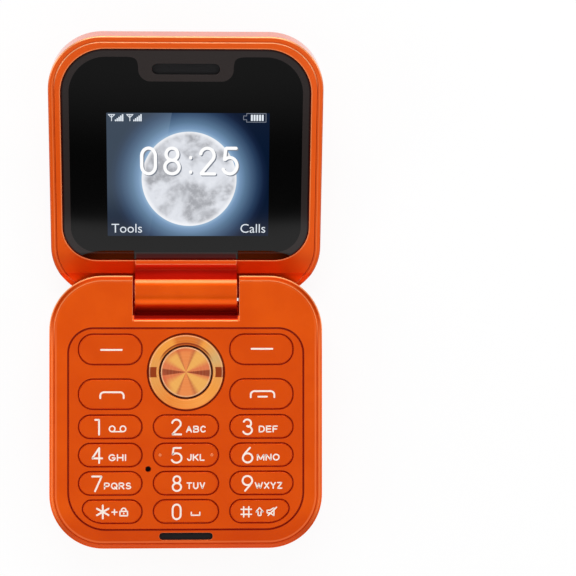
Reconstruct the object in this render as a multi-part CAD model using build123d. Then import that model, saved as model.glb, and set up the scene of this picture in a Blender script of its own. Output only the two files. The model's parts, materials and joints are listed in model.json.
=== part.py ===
"""Flip phone with a square keypad half and a square display half.

Millimetres.  The origin is the centre of the base's rear face, +Z points out of the
keypad, X runs across the phone and the hinge axis lies along X at the +Y end.
The lid is built folded shut over the base and then swung open about the hinge.
"""
from build123d import *
import math
import os

# ---------------------------------------------------------------- driving dimensions
# Base half
BASE_WIDTH = 58.5
BASE_LENGTH = 58.5
BASE_THICKNESS = 12.6
CORNER_RADIUS = 11.6
PARTING_HEIGHT = 5.0          # where the rear shell meets the front frame
SHELL_WALL = 1.2
FRAME_WALL = 1.4
FRAME_TOP = 1.5
RIM_WIDTH = 0.9               # sloped strip round the top of the frame
RIM_DROP = 0.3
REAR_EDGE_RADIUS = 1.6

# Hinge
HINGE_INSET = 3.3             # from the base's end wall to the hinge axis
HINGE_DEPTH = 4.75            # from the keypad face down to the hinge axis
BARREL_RADIUS = 4.7
BARREL_LENGTH = 21.9
BARREL_END_GAP = 0.5
NOTCH_GAP = 0.5               # barrel to the notch's curved wall
NOTCH_CHAMFER_WIDTH = 1.2
NOTCH_CHAMFER_DROP = 0.7
OPEN_ANGLE = 160.0
CLOSED_GAP = 0.3              # between the two faces when the phone is shut
STOP_GAP = 0.3                # between the lid and the base's ledge when it is open
WEB_REACH = 4.33              # from the hinge axis to the web's front wall
RELIEF_GAP = 0.28
HEEL_CLEARANCE = 0.25         # between the open lid's heel and the table
HEEL_ROOM = 0.75              # between the open lid's heel and the ledge's upright wall

# Lid half
LID_THICKNESS = 6.4
LID_RIM = 1.0
LID_FLOOR = 1.2
LID_EDGE_RADIUS = 2.0
LID_RIM_DROP = 0.2
LID_FRAME_WALL = 1.5
GLASS_SIDE_MARGIN = 2.65      # from the lid's side and far walls to the glass
GLASS_END_MARGIN = 2.75
GLASS_START = 5.38            # from the foot of the hinge axis to the glass
GLASS_FAR_RADIUS = 9.7
GLASS_FOOT_RADIUS = 7.4
GLASS_THICKNESS = 1.0
GLASS_RECESS = 0.2
GLASS_GAP = 0.1
GLASS_EDGE = 0.15

# Keypad
PANEL_MARGIN = 4.15           # from the base's side and lower walls to the panel
PANEL_TOP_MARGIN = 11.35      # from the base's hinge end to the panel
PANEL_THICKNESS = 1.4
PANEL_TOP_RADIUS = 5.3
PANEL_BOTTOM_RADIUS = 8.0
PANEL_GAP = 0.18
PANEL_LEDGE_WIDTH = 0.65
PANEL_LEDGE_THICKNESS = 0.6
PANEL_LEDGE_ROOT = 1.0        # how far the ledge reaches under the frame's top
KEY_GAP = 0.2
KEY_PROUD = 0.2
KEY_EDGE_RADIUS = 0.18
KEY_FLANGE_WIDTH = 0.36
KEY_FLANGE_THICKNESS = 0.4
KEY_FLANGE_PLAY = 0.1
KEY_TRAVEL = 0.3
MAT_CLEARANCE = 0.05          # left under a key that is pressed right down
MIDDLE_KEY_WIDTH = 13.67
KEY_SIDE_MARGIN = 2.25        # from the panel's edges to the keys
KEY_TOP_MARGIN = 1.3
KEY_END_MARGIN = 1.43
SOFT_KEY_GAP = 3.36           # from the soft keys down to the call keys
CALL_KEY_GAP = 1.5            # from the call keys down to the first number row
KEY_ROW_GAP = 1.32            # between the number rows
SOFT_KEY_SHARE = 1.32         # heights of the large keys, in number key heights
CALL_KEY_SHARE = 1.31
NUMBER_KEY_FLAT = 0.04        # half the straight left at a key's end
LARGE_KEY_FLAT = 0.15
LAST_ROW_INSET = 0.18         # the star and hash keys stop this far inside the other keys
LAST_ROW_CURVE_SHARE = 1.04   # their lower outer corner, in key heights; over 1 it meets the top
LAST_ROW_TIP_SHARE = 0.37     # their upper outer corner, in key heights
HOMING_DOT_RADIUS = 0.4
HOMING_DOT_RISE = 0.1
HOMING_DOT_SPACING = 11.1
NAV_MARGIN = 1.15             # from the ring to the panel's edge and the number keys
NAV_SIDE_MARGIN = 1.38        # from the ring to the side keys
NAV_RING_WIDTH = 2.43
NAV_RING_PROUD = 0.15
NAV_RING_GAP = 0.15
NAV_RING_OUTER_BEVEL = 0.35
NAV_RING_INNER_BEVEL = 0.3
NAV_TILT = 1.2                # degrees either way
ROCKER_OVERLAP = 0.2          # how far the rocker reaches under the panel
ROCKER_THICKNESS = 0.3
ROCKER_RISE = 0.2             # pivot ridges between the rocker and the ring
ROCKER_RIDGE_LENGTH = 1.4
ROCKER_RIDGE_WIDTH = 0.5
PIVOT_GAP = 0.03
OK_GAP = 0.32
OK_STEM_INSET = 1.2
OK_EDGE_BEVEL = 0.2
MIC_HOLE_RADIUS = 0.55
MIC_SIZE = 2.6
MIC_HEIGHT = 0.8

# Slot below the keypad
SLOT_WIDTH = 11.5
SLOT_HEIGHT = 1.55
SLOT_INSET = 2.6              # from the base's lower end to the slot's middle
SLOT_FLOOR_DROP = 1.0         # how far the slot cuts below the frame's ceiling
MESH_THICKNESS = 0.25
MESH_RECESS = 0.4
MESH_GAP = 0.03

# Boards and what they carry
MAT_THICKNESS = 0.6
MAT_RIM_WIDTH = 0.8
DOME_SHEET_THICKNESS = 0.1
DOME_RADIUS = 1.9
DOME_TOP_RADIUS = 1.1
DOME_RISE = 0.2
BOARD_THICKNESS = 0.8
BOARD_MARGIN = 4.05           # from the base's side and lower walls to the board
BOARD_END_GAP = 0.75          # from the cavity's hinge end to the board
BOARD_CORNER_RADIUS = 10.5
BOARD_TOP_RADIUS = 2.0
MAT_INSET = 0.4
SHIELD_END_MARGIN = 0.4       # from the board's end to the shield can
SHIELD_TRAY_GAP = 0.26        # from the SIM socket to the shield can
SHIELD_CABLE_GAP = 0.55       # from the base cable to the shield can
SHIELD_HEIGHT = 1.4
SHIELD_WALL = 0.2
CHIP_HEIGHT = 0.9
# each chip's place and size as shares of the can: across, along, and size by length
CHIP_SHARES = [(-0.24, 0.1, 0.45), (0.22, 0.15, 0.35), (0.18, -0.275, 0.25)]
BATTERY_SIDE_ROOM = 12.25     # from the base's side walls to the battery
BATTERY_FOOT_ROOM = 12.35     # from the base's lower end to the battery
BATTERY_THICKNESS = 4.2
BATTERY_RADIUS = 1.5
PAD_THICKNESS = 0.3
PAD_INSET = 3.0
MOTOR_HEIGHT = 2.6
MOTOR_WALL_GAP = 2.85         # from the frame's inner wall to the motor
MOTOR_CABLE_GAP = 1.35        # from the base cable to the motor
MOTOR_END_INSET = 5.6         # from the board's end to the motor's middle
SPEAKER_WIDTH = 15.0
SPEAKER_LENGTH = 9.0
SPEAKER_HEIGHT = 2.6
SPEAKER_RADIUS = 1.2
PART_GAP = 0.25               # loose fit of the inner parts to the walls
ANTENNA_GAP = 2.0             # from the loudspeaker to the antenna
ANTENNA_CORNER_REACH = 0.35   # how far it reaches into the rounded corner
ANTENNA_THICKNESS = 1.9
ANTENNA_HEIGHT = 3.6
POST_RADIUS = 1.1
UPPER_POST_INSET = 6.95       # from the base's side walls to the board posts
LOWER_POST_INSET = 9.75
LEFT_POST_DROP = 13.1         # from the board's end down to the upper posts
RIGHT_POST_DROP = 10.6
LOWER_POST_RISE = 11.45       # from the base's lower end up to the lower posts

# USB socket, in the left wall
USB_Y = -6.0
USB_WIDTH = 8.94
USB_HEIGHT = 3.2
USB_DEPTH = 7.3
USB_WALL = 0.3
USB_RADIUS = 1.55
USB_HOLE_GAP = 0.15
USB_SETBACK = 0.3
USB_TONGUE_WIDTH = 6.7
USB_TONGUE_THICKNESS = 0.7
USB_TONGUE_LENGTH = 5.6

# SIM tray, in the right wall
TRAY_Y = -6.0
TRAY_Z = 7.3
TRAY_DOOR_LENGTH = 15.0
TRAY_DOOR_HEIGHT = 2.3
TRAY_DOOR_THICKNESS = 1.2
TRAY_GAP = 0.14
TRAY_DOOR_FLAT = 0.02         # half the straight left at the door's ends
TRAY_BLADE_WIDTH = 10.4
TRAY_BLADE_THICKNESS = 1.1
TRAY_BLADE_LENGTH = 15.0
TRAY_BLADE_SHIFT = -1.7
CARD_LENGTH = 12.5
CARD_WIDTH = 9.0
CARD_POCKET_DEPTH = 0.7
EJECT_HOLE_RADIUS = 0.45
EJECT_HOLE_SHIFT = 5.7
SOCKET_WALL = 0.3

# Strap eye, in the lower end wall
STRAP_INSET = 12.25           # from the base's right wall to the strap eye
STRAP_POCKET_WIDTH = 5.0
STRAP_POCKET_DEPTH = 2.6
STRAP_POCKET_HEIGHT = 2.2
STRAP_POCKET_Z = 2.7
STRAP_PIN_RADIUS = 0.6
STRAP_PIN_SETBACK = 1.1
STRAP_PIN_BURY = 0.7

# Screws
SCREW_HEAD_RADIUS = 1.25
SCREW_HEAD_HEIGHT = 0.8
SCREW_SHANK_RADIUS = 0.7
SCREW_LENGTH = 7.2
SCREW_RECESS = 0.3
SCREW_GAP = 0.05
BOSS_RADIUS = 1.9
LOWER_SCREW_INSET = 5.65      # from both outer walls
UPPER_SCREW_INSET = 6.75      # from the side walls
UPPER_SCREW_SETBACK = 5.35    # from the hinge axis
SCREW_SLOT_WIDTH = 0.3

# Inside the hinge
CARTRIDGE_RADIUS = 3.05
CARTRIDGE_WALL = 0.35
CARTRIDGE_LENGTH = 10.4
CARTRIDGE_FIT = 0.05
SHAFT_RADIUS = 1.5
SHAFT_FIT = 0.05
SHAFT_SOCKET_DEPTH = 4.6
SHAFT_END_PLAY = 0.1
CAM_RADIUS = 2.55
CAM_THICKNESS = 1.2
FOLLOWER_THICKNESS = 2.2
FOLLOWER_HOLE_RADIUS = 0.9
SPRING_WIRE_RADIUS = 0.3
SPRING_COIL_RADIUS = 2.1
SPRING_TURNS = 4
BUSH_RADIUS = 2.2
BUSH_BORE_RADIUS = 1.6
BUSH_REACH = 5.4              # how far the bush reaches into the barrel
CABLE_CHAMBER = 5.0           # space inside the barrel for the display cable
FLEX_WIDTH = 2.6
FLEX_THICKNESS = 0.3
FLEX_CHANNEL_GAP = 0.3
FLEX_SETBACK = 0.2            # from the cable to the lid's sloping floor
FLEX_PLUG_LENGTH = 2.6
FLEX_PLUG_INSET = 2.6         # from the board's end to the cable's plug
CUT_MARGIN = 1.0              # how far open cuts run past the outside

# Display and what sits behind the cover glass (s is the distance from the hinge foot
# along the lid, d the depth below the lid's inner face)
SCREEN_X = 0.67
SCREEN_SIDE_MARGIN = 9.08     # from the glass's edges to the lit screen
SCREEN_FOOT_MARGIN = 5.47
SCREEN_HEAD_MARGIN = 13.57
DISPLAY_SIDE_BORDER = 2.4
DISPLAY_TOP_BORDER = 2.0
DISPLAY_FOOT_BORDER = 3.4
DISPLAY_THICKNESS = 1.3
BACKLIGHT_THICKNESS = 1.0
TRAY_SHEET = 0.2
DISPLAY_FIT = 0.15
SEAT_THICKNESS = 0.8
ADHESIVE_GAP = 0.05
EAR_SLOT_WIDTH = 14.5
EAR_SLOT_HEIGHT = 2.45
EAR_SLOT_INSET = 4.35         # from the glass's far edge to the slot's middle
EAR_MESH_SETBACK = 0.5
EAR_SOUND_WIDTH = 11.0
EAR_SOUND_HEIGHT = 1.2
EARPIECE_WIDTH = 14.0
EARPIECE_LENGTH = 5.4
EARPIECE_HEIGHT = 2.2
EARPIECE_RADIUS = 1.2
LID_BOARD_WIDTH = 22.0
LID_BOARD_LENGTH = 13.0
LID_BOARD_THICKNESS = 0.6
LID_BOARD_START = 10.5
MAGNET_WIDTH = 6.0
MAGNET_LENGTH = 3.0
MAGNET_THICKNESS = 1.5
MAGNET_X = -14.5
LID_SCREW_SIDE_INSET = 3.4    # from the glass's edges to the lid screws
LID_SCREW_NEAR_INSET = 4.82
LID_SCREW_FAR_INSET = 5.45
LID_SCREW_LENGTH = 4.6
LID_BOSS_RADIUS = 2.2

# ------------------------------------------------------------------- worked-out sizes
TILT = 180.0 - OPEN_ANGLE                       # slope of the open lid
SIN_TILT = math.sin(math.radians(TILT))
COS_TILT = math.cos(math.radians(TILT))
HINGE_Y = BASE_LENGTH / 2 - HINGE_INSET
HINGE_Z = BASE_THICKNESS - HINGE_DEPTH
LID_PLANE_REACH = HINGE_DEPTH + CLOSED_GAP      # hinge axis to the lid's inner face
LID_FACE_Z = HINGE_Z + LID_PLANE_REACH          # the inner face of the shut lid
NOTCH_WIDTH = BARREL_LENGTH + 2 * BARREL_END_GAP
NOTCH_RADIUS = BARREL_RADIUS + NOTCH_GAP
LEDGE_REACH = LID_PLANE_REACH - STOP_GAP        # hinge axis to the base's sloping ledge
HEEL_INNER_Y = -HINGE_INSET * COS_TILT + LID_PLANE_REACH * SIN_TILT
LEDGE_WALL_Y = HINGE_Y + HEEL_INNER_Y - HEEL_ROOM
SHOULDER_CORNER = math.hypot(HINGE_INSET - RIM_WIDTH, HINGE_DEPTH)
RELIEF_RADIUS = SHOULDER_CORNER + RELIEF_GAP
HEEL_REACH = HINGE_Z - HEEL_CLEARANCE           # hinge axis to the lid's bevelled heel

PANEL_BOTTOM = BASE_THICKNESS - PANEL_THICKNESS
PANEL_WIDTH = BASE_WIDTH - 2 * PANEL_MARGIN
PANEL_LENGTH = BASE_LENGTH - PANEL_TOP_MARGIN - PANEL_MARGIN
PANEL_TOP_EDGE = BASE_LENGTH / 2 - PANEL_TOP_MARGIN
PANEL_Y = PANEL_TOP_EDGE - PANEL_LENGTH / 2
KEYPAD_ROOM = PANEL_LENGTH - KEY_TOP_MARGIN - KEY_END_MARGIN
NUMBER_KEY_HEIGHT = (KEYPAD_ROOM - SOFT_KEY_GAP - CALL_KEY_GAP - 3 * KEY_ROW_GAP) / (
    4 + SOFT_KEY_SHARE + CALL_KEY_SHARE)        # four number rows, three gaps between them
SOFT_KEY_HEIGHT = SOFT_KEY_SHARE * NUMBER_KEY_HEIGHT
CALL_KEY_HEIGHT = CALL_KEY_SHARE * NUMBER_KEY_HEIGHT
NUMBER_KEY_RADIUS = NUMBER_KEY_HEIGHT / 2 - NUMBER_KEY_FLAT
LARGE_KEY_RADIUS = CALL_KEY_HEIGHT / 2 - LARGE_KEY_FLAT
NUMBER_ROW_PITCH = NUMBER_KEY_HEIGHT + KEY_ROW_GAP
SOFT_KEY_Y = PANEL_TOP_EDGE - KEY_TOP_MARGIN - SOFT_KEY_HEIGHT / 2
CALL_KEY_Y = SOFT_KEY_Y - SOFT_KEY_HEIGHT / 2 - SOFT_KEY_GAP - CALL_KEY_HEIGHT / 2
FIRST_ROW_Y = CALL_KEY_Y - CALL_KEY_HEIGHT / 2 - CALL_KEY_GAP - NUMBER_KEY_HEIGHT / 2
NAV_HIGH = PANEL_TOP_EDGE - NAV_MARGIN
NAV_LOW = FIRST_ROW_Y + NUMBER_KEY_HEIGHT / 2 + NAV_MARGIN
NAV_Y = (NAV_HIGH + NAV_LOW) / 2
NAV_RING_RADIUS = (NAV_HIGH - NAV_LOW) / 2
NAV_RING_HOLE_RADIUS = NAV_RING_RADIUS - NAV_RING_WIDTH
OK_RADIUS = NAV_RING_HOLE_RADIUS - OK_GAP
OK_STEM_RADIUS = OK_RADIUS - OK_STEM_INSET
SIDE_KEY_INNER = NAV_RING_RADIUS + NAV_SIDE_MARGIN
SIDE_KEY_OUTER = PANEL_WIDTH / 2 - KEY_SIDE_MARGIN
COLUMN_SPACING = (SIDE_KEY_INNER + SIDE_KEY_OUTER) / 2
SIDE_KEY_WIDTH = SIDE_KEY_OUTER - SIDE_KEY_INNER
MIC_X = -COLUMN_SPACING / 2
MIC_Y = FIRST_ROW_Y - 1.5 * NUMBER_ROW_PITCH    # between the second and third number rows
SLOT_Y = -BASE_LENGTH / 2 + SLOT_INSET

FLANGE_TOP = PANEL_BOTTOM - KEY_FLANGE_PLAY
FLANGE_BOTTOM = FLANGE_TOP - KEY_FLANGE_THICKNESS
MAT_TOP = FLANGE_BOTTOM - KEY_TRAVEL - MAT_CLEARANCE
MAT_BOTTOM = MAT_TOP - MAT_THICKNESS
DOME_SHEET_TOP = MAT_BOTTOM - DOME_RISE - MAT_CLEARANCE
BOARD_TOP = DOME_SHEET_TOP - DOME_SHEET_THICKNESS
BOARD_BOTTOM = BOARD_TOP - BOARD_THICKNESS
FRAME_CEILING = BASE_THICKNESS - FRAME_TOP
CAVITY_END = HINGE_Y - NOTCH_RADIUS - FRAME_WALL
BOARD_WIDTH = BASE_WIDTH - 2 * BOARD_MARGIN
BOARD_END = CAVITY_END - BOARD_END_GAP
BOARD_LENGTH = BOARD_END + BASE_LENGTH / 2 - BOARD_MARGIN
BATTERY_BOTTOM = SHELL_WALL + PAD_THICKNESS
BATTERY_WIDTH = BASE_WIDTH - 2 * BATTERY_SIDE_ROOM
BATTERY_LENGTH = CAVITY_END - PART_GAP + BASE_LENGTH / 2 - BATTERY_FOOT_ROOM
BATTERY_Y = CAVITY_END - PART_GAP - BATTERY_LENGTH / 2
CHANNEL_X = -NOTCH_WIDTH / 2 - SHAFT_SOCKET_DEPTH + FLEX_WIDTH / 2 + FLEX_CHANNEL_GAP
TRAY_BLADE_Y = TRAY_Y + TRAY_BLADE_SHIFT
SOCKET_HALF_WIDTH = TRAY_BLADE_WIDTH / 2 + TRAY_GAP + SOCKET_WALL
SHIELD_FOOT = TRAY_BLADE_Y + SOCKET_HALF_WIDTH + SHIELD_TRAY_GAP
SHIELD_LENGTH = BOARD_END - SHIELD_END_MARGIN - SHIELD_FOOT
SHIELD_WIDTH = -2 * (CHANNEL_X + FLEX_WIDTH / 2 + SHIELD_CABLE_GAP)
SHIELD_Y = SHIELD_FOOT + SHIELD_LENGTH / 2
MOTOR_RIGHT = CHANNEL_X - FLEX_WIDTH / 2 - MOTOR_CABLE_GAP
MOTOR_LEFT = -BASE_WIDTH / 2 + FRAME_WALL + MOTOR_WALL_GAP
MOTOR_X = (MOTOR_LEFT + MOTOR_RIGHT) / 2
MOTOR_Y = BOARD_END - MOTOR_END_INSET
ANTENNA_START = SPEAKER_WIDTH / 2 + ANTENNA_GAP
ANTENNA_END = BASE_WIDTH / 2 - CORNER_RADIUS + ANTENNA_CORNER_REACH
UPPER_POST_X = BASE_WIDTH / 2 - UPPER_POST_INSET
LOWER_POST_X = BASE_WIDTH / 2 - LOWER_POST_INSET
LOWER_POST_Y = -BASE_LENGTH / 2 + LOWER_POST_RISE
POST_PLACES = [(-UPPER_POST_X, BOARD_END - LEFT_POST_DROP), (UPPER_POST_X, BOARD_END - RIGHT_POST_DROP),
               (-LOWER_POST_X, LOWER_POST_Y), (LOWER_POST_X, LOWER_POST_Y)]
STRAP_X = BASE_WIDTH / 2 - STRAP_INSET

GLASS_WIDTH = BASE_WIDTH - 2 * GLASS_SIDE_MARGIN
GLASS_LENGTH = BASE_LENGTH - HINGE_INSET - GLASS_START - GLASS_END_MARGIN
GLASS_END = GLASS_START + GLASS_LENGTH
SCREEN_START = GLASS_START + SCREEN_FOOT_MARGIN
SCREEN_WIDTH = GLASS_WIDTH - 2 * SCREEN_SIDE_MARGIN
SCREEN_LENGTH = GLASS_LENGTH - SCREEN_FOOT_MARGIN - SCREEN_HEAD_MARGIN
EAR_SLOT_S = GLASS_END - EAR_SLOT_INSET
LID_SCREW_X = GLASS_WIDTH / 2 - LID_SCREW_SIDE_INSET
LID_SCREW_NEAR_S = GLASS_START + LID_SCREW_NEAR_INSET
LID_SCREW_FAR_S = GLASS_END - LID_SCREW_FAR_INSET
GLASS_Y = HINGE_Y - GLASS_START - GLASS_LENGTH / 2
SEAT_TOP_DEPTH = GLASS_RECESS + GLASS_THICKNESS + ADHESIVE_GAP
SEAT_BOTTOM_DEPTH = SEAT_TOP_DEPTH + SEAT_THICKNESS
LID_CAVITY_DEPTH = LID_THICKNESS - LID_FLOOR
DISPLAY_TOP_DEPTH = SEAT_TOP_DEPTH
BACKLIGHT_TOP_DEPTH = DISPLAY_TOP_DEPTH + DISPLAY_THICKNESS
DISPLAY_TRAY_DEPTH = BACKLIGHT_TOP_DEPTH + BACKLIGHT_THICKNESS
LID_BOARD_DEPTH = DISPLAY_TRAY_DEPTH + TRAY_SHEET + ADHESIVE_GAP


# -------------------------------------------------------------------- shape helpers
def outline(width, length, radius, x=0.0, y=0.0):
    """Rounded rectangle, centred at x, y."""
    return Pos(x, y) * RectangleRounded(width, length, radius)


def two_radius_outline(width, length, top_radius, bottom_radius, y=0.0):
    """Rectangle whose +Y corners and -Y corners are rounded differently."""
    sheet = Rectangle(width, length)
    sheet = fillet(sheet.vertices().group_by(Axis.Y)[-1], top_radius)
    sheet = fillet(sheet.vertices().group_by(Axis.Y)[0], bottom_radius)
    return Pos(0, y) * sheet


def panel_outline(grow=0.0):
    """The keypad panel's outline, grown outwards on every side."""
    return two_radius_outline(PANEL_WIDTH + 2 * grow, PANEL_LENGTH + 2 * grow,
                              PANEL_TOP_RADIUS + grow, PANEL_BOTTOM_RADIUS + grow, PANEL_Y)


def prism(sheet, low, high):
    """A flat outline raised from height low to height high."""
    return extrude(Pos(0, 0, low) * sheet, amount=high - low)


def block(x, y, z):
    """Box from three (low, high) pairs."""
    size = [high - low for low, high in (x, y, z)]
    middle = [(high + low) / 2 for low, high in (x, y, z)]
    return Pos(*middle) * Box(*size)


def drum(radius, low, high, x=0.0, y=0.0):
    """Upright cylinder."""
    return Pos(x, y, (low + high) / 2) * Cylinder(radius, high - low)


def hinge_drum(radius, x_low, x_high):
    """Cylinder about the hinge axis."""
    middle = (x_low + x_high) / 2
    return Pos(middle, HINGE_Y, HINGE_Z) * Rot(0, 90, 0) * Cylinder(radius, x_high - x_low)


def side_profile(points, x_low, x_high):
    """Outline of (y, z) points measured from the hinge axis, stretched along X."""
    placed = [(x_low, HINGE_Y + y, HINGE_Z + z) for y, z in points]
    face = make_face(Polyline(*placed, close=True))
    return extrude(face, amount=x_high - x_low, dir=(1, 0, 0))


def lid_block(x, s, d):
    """Box in the shut lid: s along the lid from the hinge, d into the lid."""
    return block(x, (HINGE_Y - s[1], HINGE_Y - s[0]), (LID_FACE_Z + d[0], LID_FACE_Z + d[1]))


def lid_prism(sheet, d_low, d_high):
    """A flat outline raised inside the shut lid between two depths."""
    return prism(sheet, LID_FACE_Z + d_low, LID_FACE_Z + d_high)


def opened(shape):
    """Swing a piece of the shut lid open about the hinge axis."""
    return Pos(0, HINGE_Y, HINGE_Z) * Rot(-OPEN_ANGLE, 0, 0) * Pos(0, -HINGE_Y, -HINGE_Z) * shape


def screw(x, y, head_low, length):
    """Screw with a slotted head, pointing up from the given height."""
    head = drum(SCREW_HEAD_RADIUS, 0, SCREW_HEAD_HEIGHT)
    head -= block((-SCREW_HEAD_RADIUS, SCREW_HEAD_RADIUS), (-SCREW_SLOT_WIDTH / 2, SCREW_SLOT_WIDTH / 2),
                  (0, SCREW_HEAD_HEIGHT / 2))
    return Pos(x, y, head_low) * (head + drum(SCREW_SHANK_RADIUS, SCREW_HEAD_HEIGHT, length))


# -------------------------------------------------------------------------- the keys
def corner_key_outline(side, x, y, width, height, radius):
    """Star or hash key: its lower outer corner follows the panel's corner on that side."""
    width -= LAST_ROW_INSET
    x -= side * LAST_ROW_INSET / 2
    tall = Rectangle(width, 2 * height)
    outer_low = tall.vertices().sort_by(lambda v: v.Y - v.X * side)[0]
    tall = Pos(0, height / 2) * fillet(outer_low, LAST_ROW_CURVE_SHARE * height)
    sheet = tall & Rectangle(width, height)
    inner_corners = sheet.vertices().sort_by(lambda v: v.X * side)[:2]
    sheet = fillet(inner_corners, radius)
    tip = sheet.vertices().sort_by(lambda v: v.Y + v.X * side)[-1]
    return Pos(x, y) * fillet(tip, LAST_ROW_TIP_SHARE * height)


def key_table():
    """Each key's name, centre, width, height and corner radius."""
    left, right = -COLUMN_SPACING, COLUMN_SPACING
    keys = [("key_soft_left", left, SOFT_KEY_Y, SIDE_KEY_WIDTH, SOFT_KEY_HEIGHT, LARGE_KEY_RADIUS),
            ("key_soft_right", right, SOFT_KEY_Y, SIDE_KEY_WIDTH, SOFT_KEY_HEIGHT, LARGE_KEY_RADIUS),
            ("key_call", left, CALL_KEY_Y, SIDE_KEY_WIDTH, CALL_KEY_HEIGHT, LARGE_KEY_RADIUS),
            ("key_end", right, CALL_KEY_Y, SIDE_KEY_WIDTH, CALL_KEY_HEIGHT, LARGE_KEY_RADIUS)]
    names = ["1", "2", "3", "4", "5", "6", "7", "8", "9", "star", "0", "hash"]
    for index, name in enumerate(names):
        row, column = divmod(index, 3)
        width = MIDDLE_KEY_WIDTH if column == 1 else SIDE_KEY_WIDTH
        keys.append(("key_" + name, (column - 1) * COLUMN_SPACING, FIRST_ROW_Y - row * NUMBER_ROW_PITCH,
                     width, NUMBER_KEY_HEIGHT, NUMBER_KEY_RADIUS))
    return keys


def key_outline(key, grow=0.0):
    """A key's outline grown on every side."""
    name, x, y, width, height, radius = key
    if name in ("key_star", "key_hash"):
        sheet = corner_key_outline(1 if x > 0 else -1, x, y, width, height, radius)
        return offset(sheet, grow) if grow else sheet
    return outline(width + 2 * grow, height + 2 * grow, radius + grow, x, y)


def make_key(key):
    """Key cap with a softened top edge and a flange that the panel holds down."""
    cap = prism(key_outline(key), FLANGE_BOTTOM, BASE_THICKNESS + KEY_PROUD)
    cap = fillet(cap.faces().sort_by(Axis.Z)[-1].edges(), KEY_EDGE_RADIUS)
    cap += prism(key_outline(key, KEY_FLANGE_WIDTH), FLANGE_BOTTOM, FLANGE_TOP)
    if key[0] == "key_5":
        for side in (-1, 1):
            dot = Cone(HOMING_DOT_RADIUS, HOMING_DOT_RADIUS / 2, HOMING_DOT_RISE)
            cap += Pos(key[1] + side * HOMING_DOT_SPACING / 2, key[2],
                       BASE_THICKNESS + KEY_PROUD + HOMING_DOT_RISE / 2) * dot
    return cap


# ------------------------------------------------------------- navigation ring and OK
RING_TOP = BASE_THICKNESS + NAV_RING_PROUD
ROCKER_RADIUS = NAV_RING_RADIUS + NAV_RING_GAP + ROCKER_OVERLAP
ROCKER_SWING = ROCKER_RADIUS * math.sin(math.radians(NAV_TILT))
ROCKER_TOP = PANEL_BOTTOM - ROCKER_SWING - MAT_CLEARANCE
ROCKER_BOTTOM = ROCKER_TOP - ROCKER_THICKNESS
RING_BOTTOM = ROCKER_TOP + ROCKER_RISE


def make_nav_rocker():
    """Ring-shaped plate under the panel, with two ridges that the ring tips on."""
    plate = drum(ROCKER_RADIUS, ROCKER_BOTTOM, ROCKER_TOP, 0, NAV_Y)
    plate -= drum(NAV_RING_HOLE_RADIUS, ROCKER_BOTTOM, ROCKER_TOP, 0, NAV_Y)
    ridge_x = (NAV_RING_RADIUS + NAV_RING_HOLE_RADIUS) / 2
    for side in (-1, 1):
        plate += block((side * ridge_x - ROCKER_RIDGE_LENGTH / 2, side * ridge_x + ROCKER_RIDGE_LENGTH / 2),
                       (NAV_Y - ROCKER_RIDGE_WIDTH / 2, NAV_Y + ROCKER_RIDGE_WIDTH / 2),
                       (ROCKER_TOP, RING_BOTTOM - PIVOT_GAP))
    return plate


def make_nav_ring():
    """Flat ring with a bevel outside and a smaller one inside."""
    ring = drum(NAV_RING_RADIUS, RING_BOTTOM, RING_TOP, 0, NAV_Y)
    ring = chamfer(ring.faces().sort_by(Axis.Z)[-1].edges(), NAV_RING_OUTER_BEVEL)
    hole = drum(NAV_RING_HOLE_RADIUS, RING_BOTTOM, RING_TOP, 0, NAV_Y)
    hole += Pos(0, NAV_Y, RING_TOP - NAV_RING_INNER_BEVEL / 2) * Cone(
        NAV_RING_HOLE_RADIUS, NAV_RING_HOLE_RADIUS + NAV_RING_INNER_BEVEL, NAV_RING_INNER_BEVEL)
    return ring - hole


def make_ok_button():
    """Round button that comes up through the ring."""
    cap = drum(OK_RADIUS, RING_BOTTOM, BASE_THICKNESS, 0, NAV_Y)
    cap = chamfer(cap.faces().sort_by(Axis.Z)[-1].edges(), OK_EDGE_BEVEL)
    return cap + drum(OK_STEM_RADIUS, FLANGE_BOTTOM, RING_BOTTOM, 0, NAV_Y)


# ------------------------------------------------------------------- the base's shell
def screw_places():
    """Where the four base screws stand: the lower pair, then the upper pair."""
    lower = (BASE_WIDTH / 2 - LOWER_SCREW_INSET, -(BASE_LENGTH / 2 - LOWER_SCREW_INSET))
    upper = (BASE_WIDTH / 2 - UPPER_SCREW_INSET, HINGE_Y - UPPER_SCREW_SETBACK)
    return [(side * x, y) for x, y in (lower, upper) for side in (-1, 1)]


def hinge_notch():
    """What the barrel and web need: a curved trough, open above, behind and below the ledge wall."""
    half = NOTCH_WIDTH / 2
    wall = LEDGE_WALL_Y - HINGE_Y
    above, behind, below = HINGE_DEPTH + CUT_MARGIN, HINGE_INSET + CUT_MARGIN, -HINGE_Z - CUT_MARGIN
    open_side = side_profile([(-NOTCH_RADIUS, 0), (-NOTCH_RADIUS, above), (behind, above),
                              (behind, below), (wall, below), (wall, 0)], -half, half)
    return hinge_drum(NOTCH_RADIUS, -half, half) + open_side


def heel_ledge():
    """Sloping undercut at the hinge end, where the open lid's chin lies."""
    wall = LEDGE_WALL_Y - HINGE_Y
    end, below = HINGE_INSET + CUT_MARGIN, -HINGE_Z - CUT_MARGIN
    return side_profile([(wall, below), (wall, (wall * SIN_TILT - LEDGE_REACH) / COS_TILT),
                         (end, (end * SIN_TILT - LEDGE_REACH) / COS_TILT), (end, below)],
                        -BASE_WIDTH / 2, BASE_WIDTH / 2)


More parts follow.
